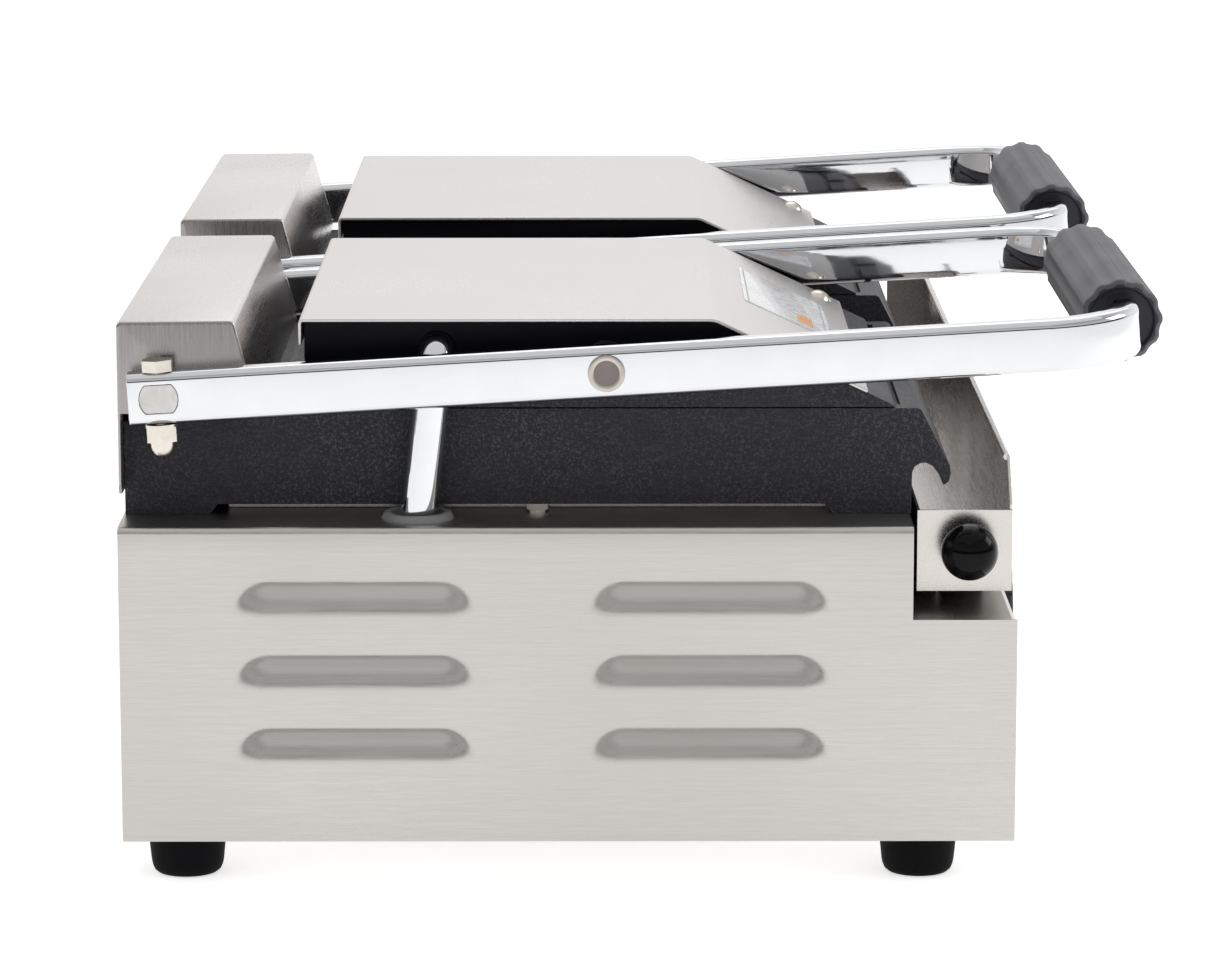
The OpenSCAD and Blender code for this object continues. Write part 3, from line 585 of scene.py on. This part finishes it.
SOFT_EDGES = {
    "left_lower_platen": (0.9, 3), "right_lower_platen": (0.9, 3), "left_upper_platen": (0.9, 3), "right_upper_platen": (0.9, 3),
    "left_heat_shield": (0.5, 2), "right_heat_shield": (0.5, 2), "rear_panel": (0.3, 2), "bottom_plate": (0.3, 2),
    "tray_rails": (0.4, 2), "rocker_frames": (0.7, 3), "left_rocker": (0.8, 3), "right_rocker": (0.8, 3), "thermostats": (0.6, 2), "terminal_block": (0.6, 2),
    "front_panel": (0.3, 2), "drip_tray": (0.3, 2), "cable_gland": (0.5, 2), "platen_studs": (0.25, 2), "hinge_brackets": (0.4, 2), "element_pans": (0.3, 2),
}
for nm in NODES:
    w, s = SOFT_EDGES.get(nm, (0, 0))
    dress(nm, w, s)
for nm in ("front_panel", "rear_panel"):
    NODES[nm].data.materials[0] = MAT["stainless_front"]

# ------------------------------------------------------------------ base housing
HW, BY, DECK, LEDGE, PZ0, YSTEP = 285.0, 170.0, 137.0, 101.3, 15.2, -130.4
LOUV = [(yc, 46.8 + 28.35 * k) for yc in (81.1, -53.6) for k in range(3)]


def hood(y, z, above):
    """How far a pressed louver stands out of the side panel at (y, z)."""
    best = 0.0
    for yc, z0 in LOUV:
        dz = z - z0
        if dz < -1e-6 or (abs(dz) < 1e-6 and not above):
            continue
        dy = max(0.0, abs(y - yc) - 32.4)
        rr = math.hypot(dz, dy)
        q = 13.5 ** 2 - rr * rr
        rawh = (math.sqrt(q) if q > 0 else 0.0) - 7.83
        k = 2.4
        h = max(rawh, 0.0) + max(k - abs(rawh), 0.0) ** 2 / (4 * k)
        if rr > 14.0:
            h = 0.0
        best = max(best, h)
    return min(best, 5.66)


def spread(lo, hi, fine, coarse, spans, keep):
    """Sorted positions from lo to hi: fine steps inside the spans, coarse outside."""
    out = set(round(k, 4) for k in keep) | {lo, hi}
    for a, b in spans:
        n = max(1, int(math.ceil((b - a) / fine)))
        out |= {round(a + (b - a) * i / n, 4) for i in range(n + 1)}
    n = int((hi - lo) / coarse)
    for i in range(n + 1):
        c = lo + (hi - lo) * i / n
        if all(not (a < c < b) for a, b in spans) and all(abs(c - k) > coarse * 0.3 for k in out):
            out.add(round(c, 4))
    return sorted(v for v in out if lo - 1e-6 <= v <= hi + 1e-6)


def housing_mesh():
    ys = spread(-BY, BY, 1.5, 12.0, [(yc - 47, yc + 47) for yc in (81.1, -53.6)], [YSTEP])
    zs = spread(PZ0, DECK - 2.6, 1.0, 7.0, [(46.8 + 28.35 * k, 46.8 + 28.35 * k + 14) for k in range(3)], [LEDGE])
    rows = []           # (kind, value, linked to the next row)
    for z in zs:
        if any(abs(z - z0) < 1e-6 for _, z0 in LOUV):
            rows.append((z, False, False))
            rows.append((z, True, True))
        else:
            rows.append((z, True, True))
    line = []           # one (function y -> point, link to next, z) a row
    for z, above, linked in rows:
        line.append((lambda y, z=z, a=above: (HW + hood(y, z, a), z), linked, z))
    for k in range(1, 8):
        t = math.pi / 2 * k / 7
        line.append((lambda y, t=t: (HW - 2.6 + 2.6 * math.cos(t), DECK - 2.6 + 2.6 * math.sin(t)), True, DECK))
    nx = 14
    for k in range(1, nx):
        line.append((lambda y, k=k: (HW - 2.6 - (2 * HW - 5.2) * k / nx, DECK), True, DECK))
    full = line + [(lambda y, f=f: (-f(y)[0], f(y)[1]), True, z) for f, _, z in reversed(line[: len(rows) + 7])]
    # links on the mirrored half
    links = [l for _, l, _ in line]
    back = [True] * (len(rows) + 7)
    half = rows[::-1]
    for i, (z, above, linked) in enumerate(half):
        if above and any(abs(z - z0) < 1e-6 for _, z0 in LOUV):
            back[7 + i] = False
    links += back
    verts, faces, n = [], [], len(ys)
    for f, _, z in full:
        for y in ys:
            x, zz = f(y)
            verts.append(P(x, y, zz))
    for i in range(len(full) - 1):
        if not links[i]:
            continue
        for j in range(n - 1):
            ym = (ys[j] + ys[j + 1]) / 2
            zm = (full[i][2] + full[i + 1][2]) / 2
            if ym < YSTEP and zm > LEDGE + 0.01:
                continue
            faces.append((i * n + j, i * n + j + 1, (i + 1) * n + j + 1, (i + 1) * n + j))
    me = bpy.data.meshes.new("housing_mesh")
    me.from_pydata([tuple(v) for v in verts], [], faces)
    bm = bmesh.new()
    bm.from_mesh(me)
    bmesh.ops.remove_doubles(bm, verts=bm.verts, dist=2e-6)
    loose = [v for v in bm.verts if not v.link_faces]
    bmesh.ops.delete(bm, geom=loose, context="VERTS")
    bmesh.ops.recalc_face_normals(bm, faces=bm.faces)
    top = max(bm.faces, key=lambda f: f.calc_center_median().z)
    if top.normal.z < 0:
        bmesh.ops.reverse_faces(bm, faces=bm.faces)
    bm.to_mesh(me)
    bm.free()
    return me


ob = add("housing_wrap", housing_mesh(), "stainless_housing", "root", sharp=50)
solidify(ob, 1.2, -1)
bake(ob)
cut(ob, [raw(lathe("hole", [(0, 128), (12, 128), (12, 142), (0, 142)], 40, (s * 264.4, 57, 0))) for s in (1, -1)])
bevel(ob, 0.35, 2, 55)
ob.data.set_sharp_from_angle(angle=math.radians(50))
flange = []
for s in (1, -1):
    for x0, x1, y0, y1, z0, z1 in ((254, 283.8, -167.5, 167.5, 15.2, 16.4), (271, 283.8, -168.8, -167.6, 22, 96), (271, 283.8, 167.6, 168.8, 22, 130)):
        a, b = sorted((s * x0, s * x1))
        flange.append(prism_x("flange", [(y0, z0), (y1, z0), (y1, z1), (y0, z1)], a, b))
fl = add("housing_flanges", join(flange, "flanges"), "stainless_housing", "root", sharp=30)
bevel(fl, 0.25, 2)
done(fl)
done(ob, "base_housing")

# ------------------------------------------------------------------ spring boxes
def spring_box(name):
    front, back = (116.8, 177.9), (170.8, 146.5)
    outer = fillet([(115.5, 173.0), (126.2, 213.6), (170.8, 213.2), (170.8, 140.0), (150.0, 140.0), (150.0, 173.0)], [0, 2.4, 2.4, 0, 0, 0], 6, closed=True)
    ob = raw(prism_x("box", [tuple(p) for p in outer], 27, 269))
    bevel(ob, 1.3, 4, 40, False)
    bake(ob)
    inner = prism_x("i", [(118, 130), (127.3, 212.3), (169.6, 211.95), (169.6, 130)], 28.2, 267.8)
    low = prism_x("l", [(100, 120), (169.6, 120), (169.6, 177.9), (100, 177.9)], 20, 276)
    rear = prism_x("r", [(169, 120), (175, 120), (175, 146.5), (169, 146.5)], 20, 276)
    ang = [(HY + 8.2 * math.cos(t), HZ + 8.2 * math.sin(t)) for t in [math.pi * k / 16 for k in range(17)]]
    slot_cut = prism_x("s", ang + [(HY - 8.2, 170), (HY + 8.2, 170)], 20, 276)
    chips = []
    for x in (27, 269):
        k = 4.2
        sx = 1 if x < 100 else -1
        v = [P(x - sx * 3, 168, 140), P(x + sx * k, 168, 146.0), P(x - sx * 3, 168, 146.5 + k + 3), P(x - sx * 3, 174, 140), P(x + sx * k, 174, 146.0), P(x - sx * 3, 174, 146.5 + k + 3)]
        chips.append(mesh("c", v, [(0, 1, 2), (3, 5, 4), (0, 3, 4, 1), (1, 4, 5, 2), (2, 5, 3, 0)]))
    cut(ob, [raw(inner), raw(low), raw(rear), raw(slot_cut)] + [raw(c) for c in chips])
    me = ob.data
    bpy.data.objects.remove(ob)
    me.name = name
    return me


def box_ends_painted_shade(ob):
    """The folded ends have their grain upright and a darker base colour, which is painted shade for the darker
    reflection they show; the rest has its grain along the box.
    """
    ob.data.materials.append(MAT["stainless_box_end_painted_shade"])
    # faces turned along X get the darker material: painted shade
    for p in ob.data.polygons:
        p.material_index = 1 if abs(p.normal.x) > 0.7 else 0
    bevel(ob, 0.2, 2, 45)


both("spring_box", spring_box, "stainless_box", "root", "spring_box", 40, box_ends_painted_shade)


# ------------------------------------------------------------------ lid covers
def cover(name):
    y1, z1 = -114.0, 213 + (-114 + 55.7) * 0.47
    nx, nz = 0.47 / math.hypot(1, 0.47), 1 / math.hypot(1, 0.47)
    top = fillet([(102.3, 203.0), (102.3, 213.0), (-55.7, 213.0), (y1, z1)], [0, 1.9, 9.0, 0], 8)
    under = fillet([(101.1, 203.0), (101.1, 211.8), (-55.4, 211.8), (y1 + nx * 1.2, z1 - nz * 1.2)], [0, 0.7, 9.0, 0], 8)
    outline = [tuple(p) for p in top] + [tuple(p) for p in reversed(under)]
    n = len(outline)
    xs = [33, 34.2] + [33 + 229 * i / 12 for i in range(1, 12)] + [260.8, 262]
    v = [P(x, y, z) for x in xs for y, z in outline]
    f = [tuple(range(n))[::-1], tuple(range((len(xs) - 1) * n, len(xs) * n))]
    for i in range(len(xs) - 1):
        f += [(i * n + j, i * n + (j + 1) % n, (i + 1) * n + (j + 1) % n, (i + 1) * n + j) for j in range(n)]
    return mesh(name, v, f)


both("cover", cover, "stainless_cover", "platen", "cover", 40, lambda o: bevel(o, 0.38, 3, 50))


# ------------------------------------------------------------------ handles
ARM_IN, ARM_OUT, ARM_L, BEND = 18.5, 277.5, 367.3, 33.0


def handle(name):
    path, frames = [], []
    up = Vector((0, 0, 1))

    def put(x, y, sx, sy):
        path.append(Vector((x, y, 0)))
        frames.append((Vector((sx, sy, 0)), up))
    for y in (11.6, 10.8, -20, -120, -240, -ARM_L + BEND):
        put(ARM_IN, y, -1, 0)
    for k in range(1, 21):
        t = math.pi / 2 * k / 20
        put(ARM_IN + BEND - BEND * math.cos(t), -ARM_L + BEND - BEND * math.sin(t), -math.cos(t), -math.sin(t))
    for k in range(1, 6):
        put(ARM_IN + BEND + (ARM_OUT - ARM_IN - 2 * BEND) * k / 5, -ARM_L, 0, -1)
    for k in range(1, 21):
        t = math.pi / 2 * k / 20
        put(ARM_OUT - BEND + BEND * math.sin(t), -ARM_L + BEND - BEND * math.cos(t), math.sin(t), -math.cos(t))
    for y in (-240, -120, -20, 10.8, 11.6):
        put(ARM_OUT, y, 1, 0)
    prof = rrect(11, 20, 3.4, 8)
    v, f = sweep(name, path, frames, prof)
    me = mesh(name, [lid(p) for p in v], f)
    ob = raw(me)
    t = math.asin(5.4 / 7.4)
    oval = [(7.4 * math.cos(a), 7.4 * math.sin(a)) for a in [-t + 2 * t * k / 10 for k in range(11)]]
    oval += [(-y, -z) for y, z in oval]
    cuts = []
    for x in (ARM_IN, ARM_OUT):
        w = [lid((x - 9, y, z)) for y, z in oval] + [lid((x + 9, y, z)) for y, z in oval]
        n = len(oval)
        fs = [tuple(range(n)), tuple(range(2 * n - 1, n - 1, -1))] + [(i, (i + 1) % n, n + (i + 1) % n, n + i) for i in range(n)]
        cuts.append(raw(mesh("oval", w, fs)))
    cut(ob, cuts)
    me = ob.data
    bpy.data.objects.remove(ob)
    return me


both("handle", handle, "chrome_tube", "lid", "handle", 40, lambda o: bevel(o, 0.35, 3, 50))


# ------------------------------------------------------------------ hand grips
def grip_radius(th):
    r = 16.0
    for i in range(12):
        d = (th - math.radians(30 * i + 15) + math.pi) % (2 * math.pi) - math.pi
        s = 22.6 * math.sin(d)
        if abs(d) < 0.6 and abs(s) < 7.4:
            c = 22.6 * math.cos(d) - math.sqrt(7.4 ** 2 - s * s)
            k = 0.35
            m = max(k - abs(r - c), 0.0) / k
            r = min(r, c) - m * m * k / 4
    for seam in (math.radians(99.0), math.radians(279.0)):
        d = (th - seam + math.pi) % (2 * math.pi) - math.pi
        r -= 0.30 * math.exp(-((d / math.radians(0.9)) ** 2))
    return r


def grip(name):
    x0 = (ARM_IN + ARM_OUT) / 2 - 82.5
    steps = []
    for k in range(7):                      # end radius
        t = math.pi / 2 * k / 6
        steps.append((x0 + 1.8 * (1 - math.cos(t)), 1.8 * (1 - math.sin(t))))
    for k in range(1, 12):
        steps.append((x0 + 1.8 + (165 - 3.6) * k / 11, 0.0))
    for k in range(1, 7):
        t = math.pi / 2 * k / 6
        steps.append((x0 + 165 - 1.8 + 1.8 * math.sin(t), 1.8 * (1 - math.cos(t))))
    ths = sorted(set([2 * math.pi * k / 240 for k in range(240)] + [math.radians(a + d) for a in (99, 279) for d in (-1.4, -0.7, -0.35, 0, 0.35, 0.7, 1.4)]))
    n = len(ths)
    v, f, mats = [], [], []
    rr = [grip_radius(t) for t in ths]

    def ring(x, radii):
        for t, r in zip(ths, radii):
            v.append(lid((x, -ARM_L + r * math.cos(t), r * math.sin(t))))
    # recess, face, skin, face, recess
    rings = [(x0 + 2.4, [6.0] * n, 1), (x0 + 2.4, [12.2] * n, 1), (x0 + 0.5, [12.6] * n, 1), (x0, [13.0] * n, 1)]
    rings += [(x, [r - d for r in rr], 0) for x, d in steps]
    rings += [(x0 + 165, [13.0] * n, 1), (x0 + 164.5, [12.6] * n, 1), (x0 + 162.6, [12.2] * n, 1), (x0 + 162.6, [6.0] * n, 1)]
    ids = []
    for x, radii, m in rings:
        ring(x, radii)
        ids.append(m)
    for i in range(len(rings) - 1):
        m = 0 if ids[i] == 0 and ids[i + 1] == 0 else 1
        for j in range(n):
            k = (j + 1) % n
            f.append((i * n + j, (i + 1) * n + j, (i + 1) * n + k, i * n + k))
            mats.append(m)
    me = bpy.data.meshes.new(name)
    me.from_pydata([tuple(p) for p in v], [], f)
    me.polygons.foreach_set("material_index", mats)
    bm = bmesh.new()
    bm.from_mesh(me)
    bmesh.ops.recalc_face_normals(bm, faces=bm.faces)
    bm.to_mesh(me)
    bm.free()
    return me


both("grip", grip, ["grip_plastic", "grip_end"], "lid", "grip", 45)


def cap_ring(name):
    a = lid((0, -(HY - PY) / math.cos(TILT), 0)) * 1000
    rings = []
    for x, ax in ((284.2, "X"), (11.8, "-X")):
        rings.append(lathe("r", [(4.9, 0.0), (5.1, 0.14), (5.5, 0.22), (6.5, 0.22), (6.9, 0.1), (7.0, -0.2)], 48, (x, a.y - YS, a.z), ax))
    return join(rings, name)


both("pivot_cap_ring", cap_ring, "pivot_ring", "lid", None, 40)

# ------------------------------------------------------------------ conduits and grommets
COND = math.atan((57 - 50) / (200 - 137))


def conduit(name):
    c, s = math.cos(COND), math.sin(COND)
    path, frames = [], []
    y = Vector((0, 1, 0))

    def put(x, z, sx, sz):
        path.append(Vector((x, 0, z)))
        frames.append((Vector((sx, 0, sz)), y))
    for z in (-168, -166, -120, -80, -60, -40, -20, -8):
        put(264.4, z, 1, 0)
    for k in range(1, 13):
        t = math.pi / 2 * k / 12
        put(264.4 - 8 + 8 * math.cos(t), -8 + 8 * math.sin(t), math.cos(t), math.sin(t))
    for x in (254, 251, 248.4):
        put(x, 0, 0, 1)
    prof = [(7 * math.cos(2 * math.pi * k / 40), 7 * math.sin(2 * math.pi * k / 40)) for k in range(40)]
    v, f = sweep(name, path, frames, prof)
    return mesh(name, [P(p.x, 50 + p.y * c - p.z * s, 200 + p.y * s + p.z * c) for p in v], f)


both("conduit", conduit, "chrome_tube", "conduit_arm", "conduit", 50, lambda o: bevel(o, 0.3, 2, 60))

grom = [lathe("g", [(10, 132.9), (10.0, 139.0), (10.5, 139.5), (12.0, 139.6), (12.7, 139.2), (13.4, 138.0), (13.75, 137.02), (11.6, 137.0), (11.6, 135.8), (13, 135.8), (13, 133.6), (12.6, 133.0), (10, 132.9)], 56, (s * 264.4, 57.4, 0)) for s in (1, -1)]
done(add("grommet_pair", join(grom, "grommets"), "grey_plastic", "root", sharp=50), "conduit_grommets")

# ------------------------------------------------------------------ feet and ball knob
feet = [lathe("f", [(2.6, 2.2), (5.6, 2.2), (6.0, 1.8), (6.0, 0.5), (6.4, 0.0), (9.2, 0.0), (11.6, 0.4), (12.8, 1.4), (13.5, 3.0), (13.9, 5.0), (14.8, 14.0), (14.9, 14.8), (14.4, 15.19), (2.6, 15.19)], 56, (s * 270, y, 0)) for s in (1, -1) for y in (-134, 146.5)]
done(add("rubber_feet", join(feet, "feet"), "black_rubber", "root", sharp=50), "feet")

ball = []
for k in range(29):
    t = math.pi * k / 28
    if 10.9 * math.cos(t) < -9.75:
        break
    ball.append((10.9 * math.sin(t), 10.9 * math.cos(t)))
kn = ball + [(4.9, -9.8), (4.9, -10.9)]
knob = lathe("knob_mesh", [(r, h) for r, h in kn], 64, (-272, -152.4, 124.9), "-X")
wash = lathe("w", [(0, -11.1), (5.0, -11.1), (5.0, -12.3), (2.4, -12.3), (2.4, -13.3)], 40, (-272, -152.4, 124.9), "-X")
nutk = lathe("n", [(2.4, -12.0), (5.0, -12.0), (5.0, -15.2), (4.6, -15.5), (0, -15.5)], 40, (-272, -152.4, 124.9), "-X")
kb = add("ball_knob", knob, "black_phenolic", "tray", sharp=50)
done(kb, "tray_knob")
done(add("knob_stud", join([wash, nutk], "knob_stud"), "bright_fasteners", "tray", sharp=40))

# ------------------------------------------------------------------ blank label on the near lid
def label():
    c = [(-170.0, -104.5), (-76.0, -104.5), (-76.0, -69.5), (-170.0, -69.5)]
    z = lambda y: 213 + (y + 55.7) * 0.47
    outer = [tuple(p) for p in fillet(c, 1.6, 5, closed=True)]
    n = len(outer)
    up = 0.22
    v = [P(x, y, z(y) + 0.01) for x, y in outer] + [P(x, y, z(y) + up) for x, y in outer]
    f = [tuple(range(n - 1, -1, -1)), tuple(range(n, 2 * n))] + [(i, (i + 1) % n, n + (i + 1) % n, n + i) for i in range(n)]
    base = mesh("label_base", v, f)
    bars = []
    for x0, x1, y0, y1, t in ((-168.4, -77.6, -103.0, -102.4, 0.02), (-168.4, -77.6, -71.6, -71.0, 0.02), (-168.4, -167.8, -103.0, -71.0, 0.02), (-78.2, -77.6, -103.0, -71.0, 0.02)):
        q = [P(x, y, z(y) + up + t) for x, y in ((x0, y0), (x1, y0), (x1, y1), (x0, y1))]
        bars.append(mesh("bar", q, [(0, 1, 2, 3)]))
    band = [P(x, y, z(y) + up + 0.02) for x, y in ((-160, -91.5), (-138, -91.5), (-138, -97.5), (-160, -97.5))]
    return base, join(bars, "bars"), mesh("band", band, [(0, 1, 2, 3)])


MAT["label_rule"] = plastic("label_rule", (0.42, 0.42, 0.43), (0.4, 0.5), 900, 0.05)
MAT["amber_band"] = plastic("amber_band", (0.78, 0.30, 0.03), (0.3, 0.4), 500, 0.05)
lb, lbars, lband = label()
lo_ = add("label_plate", lb, "blank_label", "left_platen", sharp=30)
done(lo_)
for nm, me, m in (("label_border", lbars, "label_rule"), ("label_band", lband, "amber_band")):
    done(add(nm, me, m, "left_platen", sharp=30))


# ------------------------------------------------------------------ controls
def dial(name):
    prof = [(-171.4, 19.4), (-171.8, 19.9), (-173.8, 19.9), (-174.2, 19.5), (-174.3, 17.9), (-175.0, 17.5), (-184.4, 16.9), (-185.2, 16.2), (-185.6, 15.2)]
    n = 216
    v, f = [], []
    for y, r in prof:
        for k in range(n):
            t = 2 * math.pi * k / n
            rr = r
            if -184.9 < y < -174.5:
                ph = (math.degrees(t) + 90) % 20
                dist = abs(ph - 10)
                rr -= 1.0 * max(0.0, 1 - (dist / 5.2) ** 2)
            v.append(P(64 + rr * math.sin(t), y, 60 + rr * math.cos(t)))
    for i in range(len(prof) - 1):
        f += [(i * n + k, i * n + (k + 1) % n, (i + 1) * n + (k + 1) % n, (i + 1) * n + k) for k in range(n)]
    f.append(tuple(range(n)))
    v.append(P(64, -185.9, 60))
    c = len(v) - 1
    b = (len(prof) - 1) * n
    f += [(b + k, b + (k + 1) % n, c) for k in range(n)]
    return mesh(name, v, f)


both("dial", dial, "black_plastic", "dial_body", "dial", 35, lambda o: bevel(o, 0.12, 2, 50))


def pointer(name):
    w = 1.1
    pts = [(64 - w, 62), (64 + w, 62), (64 + w, 74.2), (64, 75.2), (64 - w, 74.2)]
    v = [P(x, -185.75, z) for x, z in pts] + [P(x, -186.25, z) for x, z in pts]
    n = len(pts)
    return mesh(name, v, [tuple(range(n)), tuple(range(2 * n - 1, n - 1, -1))] + [(i, (i + 1) % n, n + (i + 1) % n, n + i) for i in range(n)])


both("dial_pointer", pointer, "white_mark", "dial_body", None, 30)

ticks = []
for s in (1, -1):
    for k in range(11):
        t = math.radians(-135 + 27 * k)
        r0, r1, w = 21.6, (25.2 if k % 5 == 0 else 23.6), (0.42 if k % 5 == 0 else 0.28)
        q = []
        for r, o in ((r0, -w), (r1, -w), (r1, w), (r0, w)):
            q.append((s * 64 + r * math.sin(t) + o * math.cos(t), 60 + r * math.cos(t) - o * math.sin(t)))
        v = [P(x, -170.02, z) for x, z in q] + [P(x, -170.1, z) for x, z in q]
        ticks.append(mesh("t", v, [(0, 1, 2, 3), (7, 6, 5, 4), (0, 1, 5, 4), (1, 2, 6, 5), (2, 3, 7, 6), (3, 0, 4, 7)]))
done(add("dial_scales", join(ticks, "ticks"), "marking", "root", sharp=30))

lamps, bez = {1: [], -1: []}, []
for s in (1, -1):
    for z in (50, 70):
        bez.append(lathe("b", [(5.2, 170.02), (6.6, 170.02), (6.6, 171.1), (6.2, 171.55), (5.5, 171.6), (5.2, 171.2)], 40, (s * 24, 0, z), "-Y"))
        lens = [(5.2, 170.0), (5.2, 171.2)] + [(5.1 * math.cos(t), 171.2 + 2.6 * math.sin(t)) for t in [math.pi / 2 * k / 8 for k in range(9)]]
        lamps[s].append((z, lathe("l", lens, 40, (s * 24, 0, z), "-Y")))
done(add("lamp_bezels", join(bez, "bezels"), "chrome_tube", "root", sharp=40))
amber = [m for s in lamps for z, m in lamps[s] if z == 70]
green = [m for s in lamps for z, m in lamps[s] if z == 50]
done(add("lamp_lens_heat", join(amber, "heat"), "lamp_lens", "root", sharp=50), "pilot_lamps")
done(add("lamp_lens_power", join(green, "power"), "lamp_green", "root", sharp=50))

# ------------------------------------------------------------------ camera, floor, light
cam_data = bpy.data.cameras.new("camera")
cam = bpy.data.objects.new("camera", cam_data)
scene.collection.objects.link(cam)
cam_data.lens = 148.32
cam_data.sensor_width = 36.0
cam_data.clip_start, cam_data.clip_end = 0.05, 60.0
cam.location = (-2.135, 0.012886, 0.49765)
cam.rotation_euler = (math.pi / 2 - 0.1843, 0.0006, -math.pi / 2 - 0.0015)
scene.camera = cam

n = NT("pale_floor")
a = n.noise(n.mapping((3, 3, 3)), 1.0, 3.0, 0.5)
n.color(n.mix(n.range(a, 0, 1, 0.3, 0.7), (0.86, 0.86, 0.86), (0.89, 0.89, 0.89)))
n.set(Roughness=0.75, Emission_Strength=0.64, **{"Specular_IOR_Level": 0.2, "Emission_Color": (1, 1, 1, 1)})
bm = bmesh.new()
bmesh.ops.create_grid(bm, x_segments=8, y_segments=8, size=14)
me = bpy.data.meshes.new("floor")
bm.to_mesh(me)
bm.free()
me.materials.append(n.mat)
floor = bpy.data.objects.new("floor", me)
scene.collection.objects.link(floor)

WORLD_NEAR, WORLD_FAR, WORLD_TOP, ROOM, GREY = 0.96, 1.02, 0.56, 0.035, 0.70
world = bpy.data.worlds.new("studio")
world.use_nodes = True
scene.world = world
wt = world.node_tree
bg = wt.nodes["Background"]
wc = wt.nodes.new("ShaderNodeTexCoord")
ws = wt.nodes.new("ShaderNodeSeparateXYZ")
wt.links.new(wc.outputs["Generated"], ws.inputs[0])


def wrange(src, a, b, lo, hi, smooth=True):
    r = wt.nodes.new("ShaderNodeMapRange")
    r.interpolation_type = "SMOOTHSTEP" if smooth else "LINEAR"
    for k, v in (("From Min", a), ("From Max", b), ("To Min", lo), ("To Max", hi)):
        r.inputs[k].default_value = v
    wt.links.new(src, r.inputs["Value"])
    return r.outputs[0]


def wmul(a, b):
    m = wt.nodes.new("ShaderNodeMath")
    m.operation = "MULTIPLY"
    wt.links.new(a, m.inputs[0])
    wt.links.new(b, m.inputs[1])
    return m.outputs[0]


# a soft white tent, brightest behind the far side and dimmer overhead
across = wrange(ws.outputs["X"], -0.9, 0.9, WORLD_NEAR, WORLD_FAR)
overhead = wrange(ws.outputs["Z"], 0.15, 0.85, 1.0, WORLD_TOP)
bg.inputs["Color"].default_value = (1, 1, 1, 1)
band = wmul(wrange(ws.outputs["Z"], 0.02, 0.07, 0.0, 1.0), wrange(ws.outputs["Z"], 0.16, 0.26, 1.0, 0.0))
band = wmul(band, wrange(ws.outputs["X"], 0.10, 0.60, 1.0, 0.0))
room = wrange(band, 0.0, 1.0, 1.0, ROOM, False)
ceiling = wmul(wrange(ws.outputs["Z"], 0.02, 0.10, 0.0, 1.0), wrange(ws.outputs["X"], 0.05, 0.55, 1.0, 0.0))
ceiling = wrange(ceiling, 0.0, 1.0, 1.0, GREY, False)
wt.links.new(wmul(wmul(wmul(across, overhead), room), ceiling), bg.inputs["Strength"])


def area(name, loc, target, size, power, color=(1, 1, 1)):
    li = bpy.data.lights.new(name, "AREA")
    li.shape = "RECTANGLE"
    li.size, li.size_y = size
    li.energy = power
    li.color = color
    o = bpy.data.objects.new(name, li)
    scene.collection.objects.link(o)
    o.location = loc
    d = Vector(target) - Vector(loc)
    o.rotation_euler = d.to_track_quat("-Z", "Y").to_euler()
    return o


area("far_key", (1.7, -0.3, 2.1), (-0.1, 0, 0.1), (1.6, 2.2), 8)
area("front_soft", (0.2, -2.1, 1.2), (0, 0, 0.12), (1.0, 0.8), 9)
area("top_soft", (-0.3, 0.1, 2.6), (-0.2, 0, 0.0), (4.0, 4.0), 19)
scene.view_settings.view_transform = "Standard"
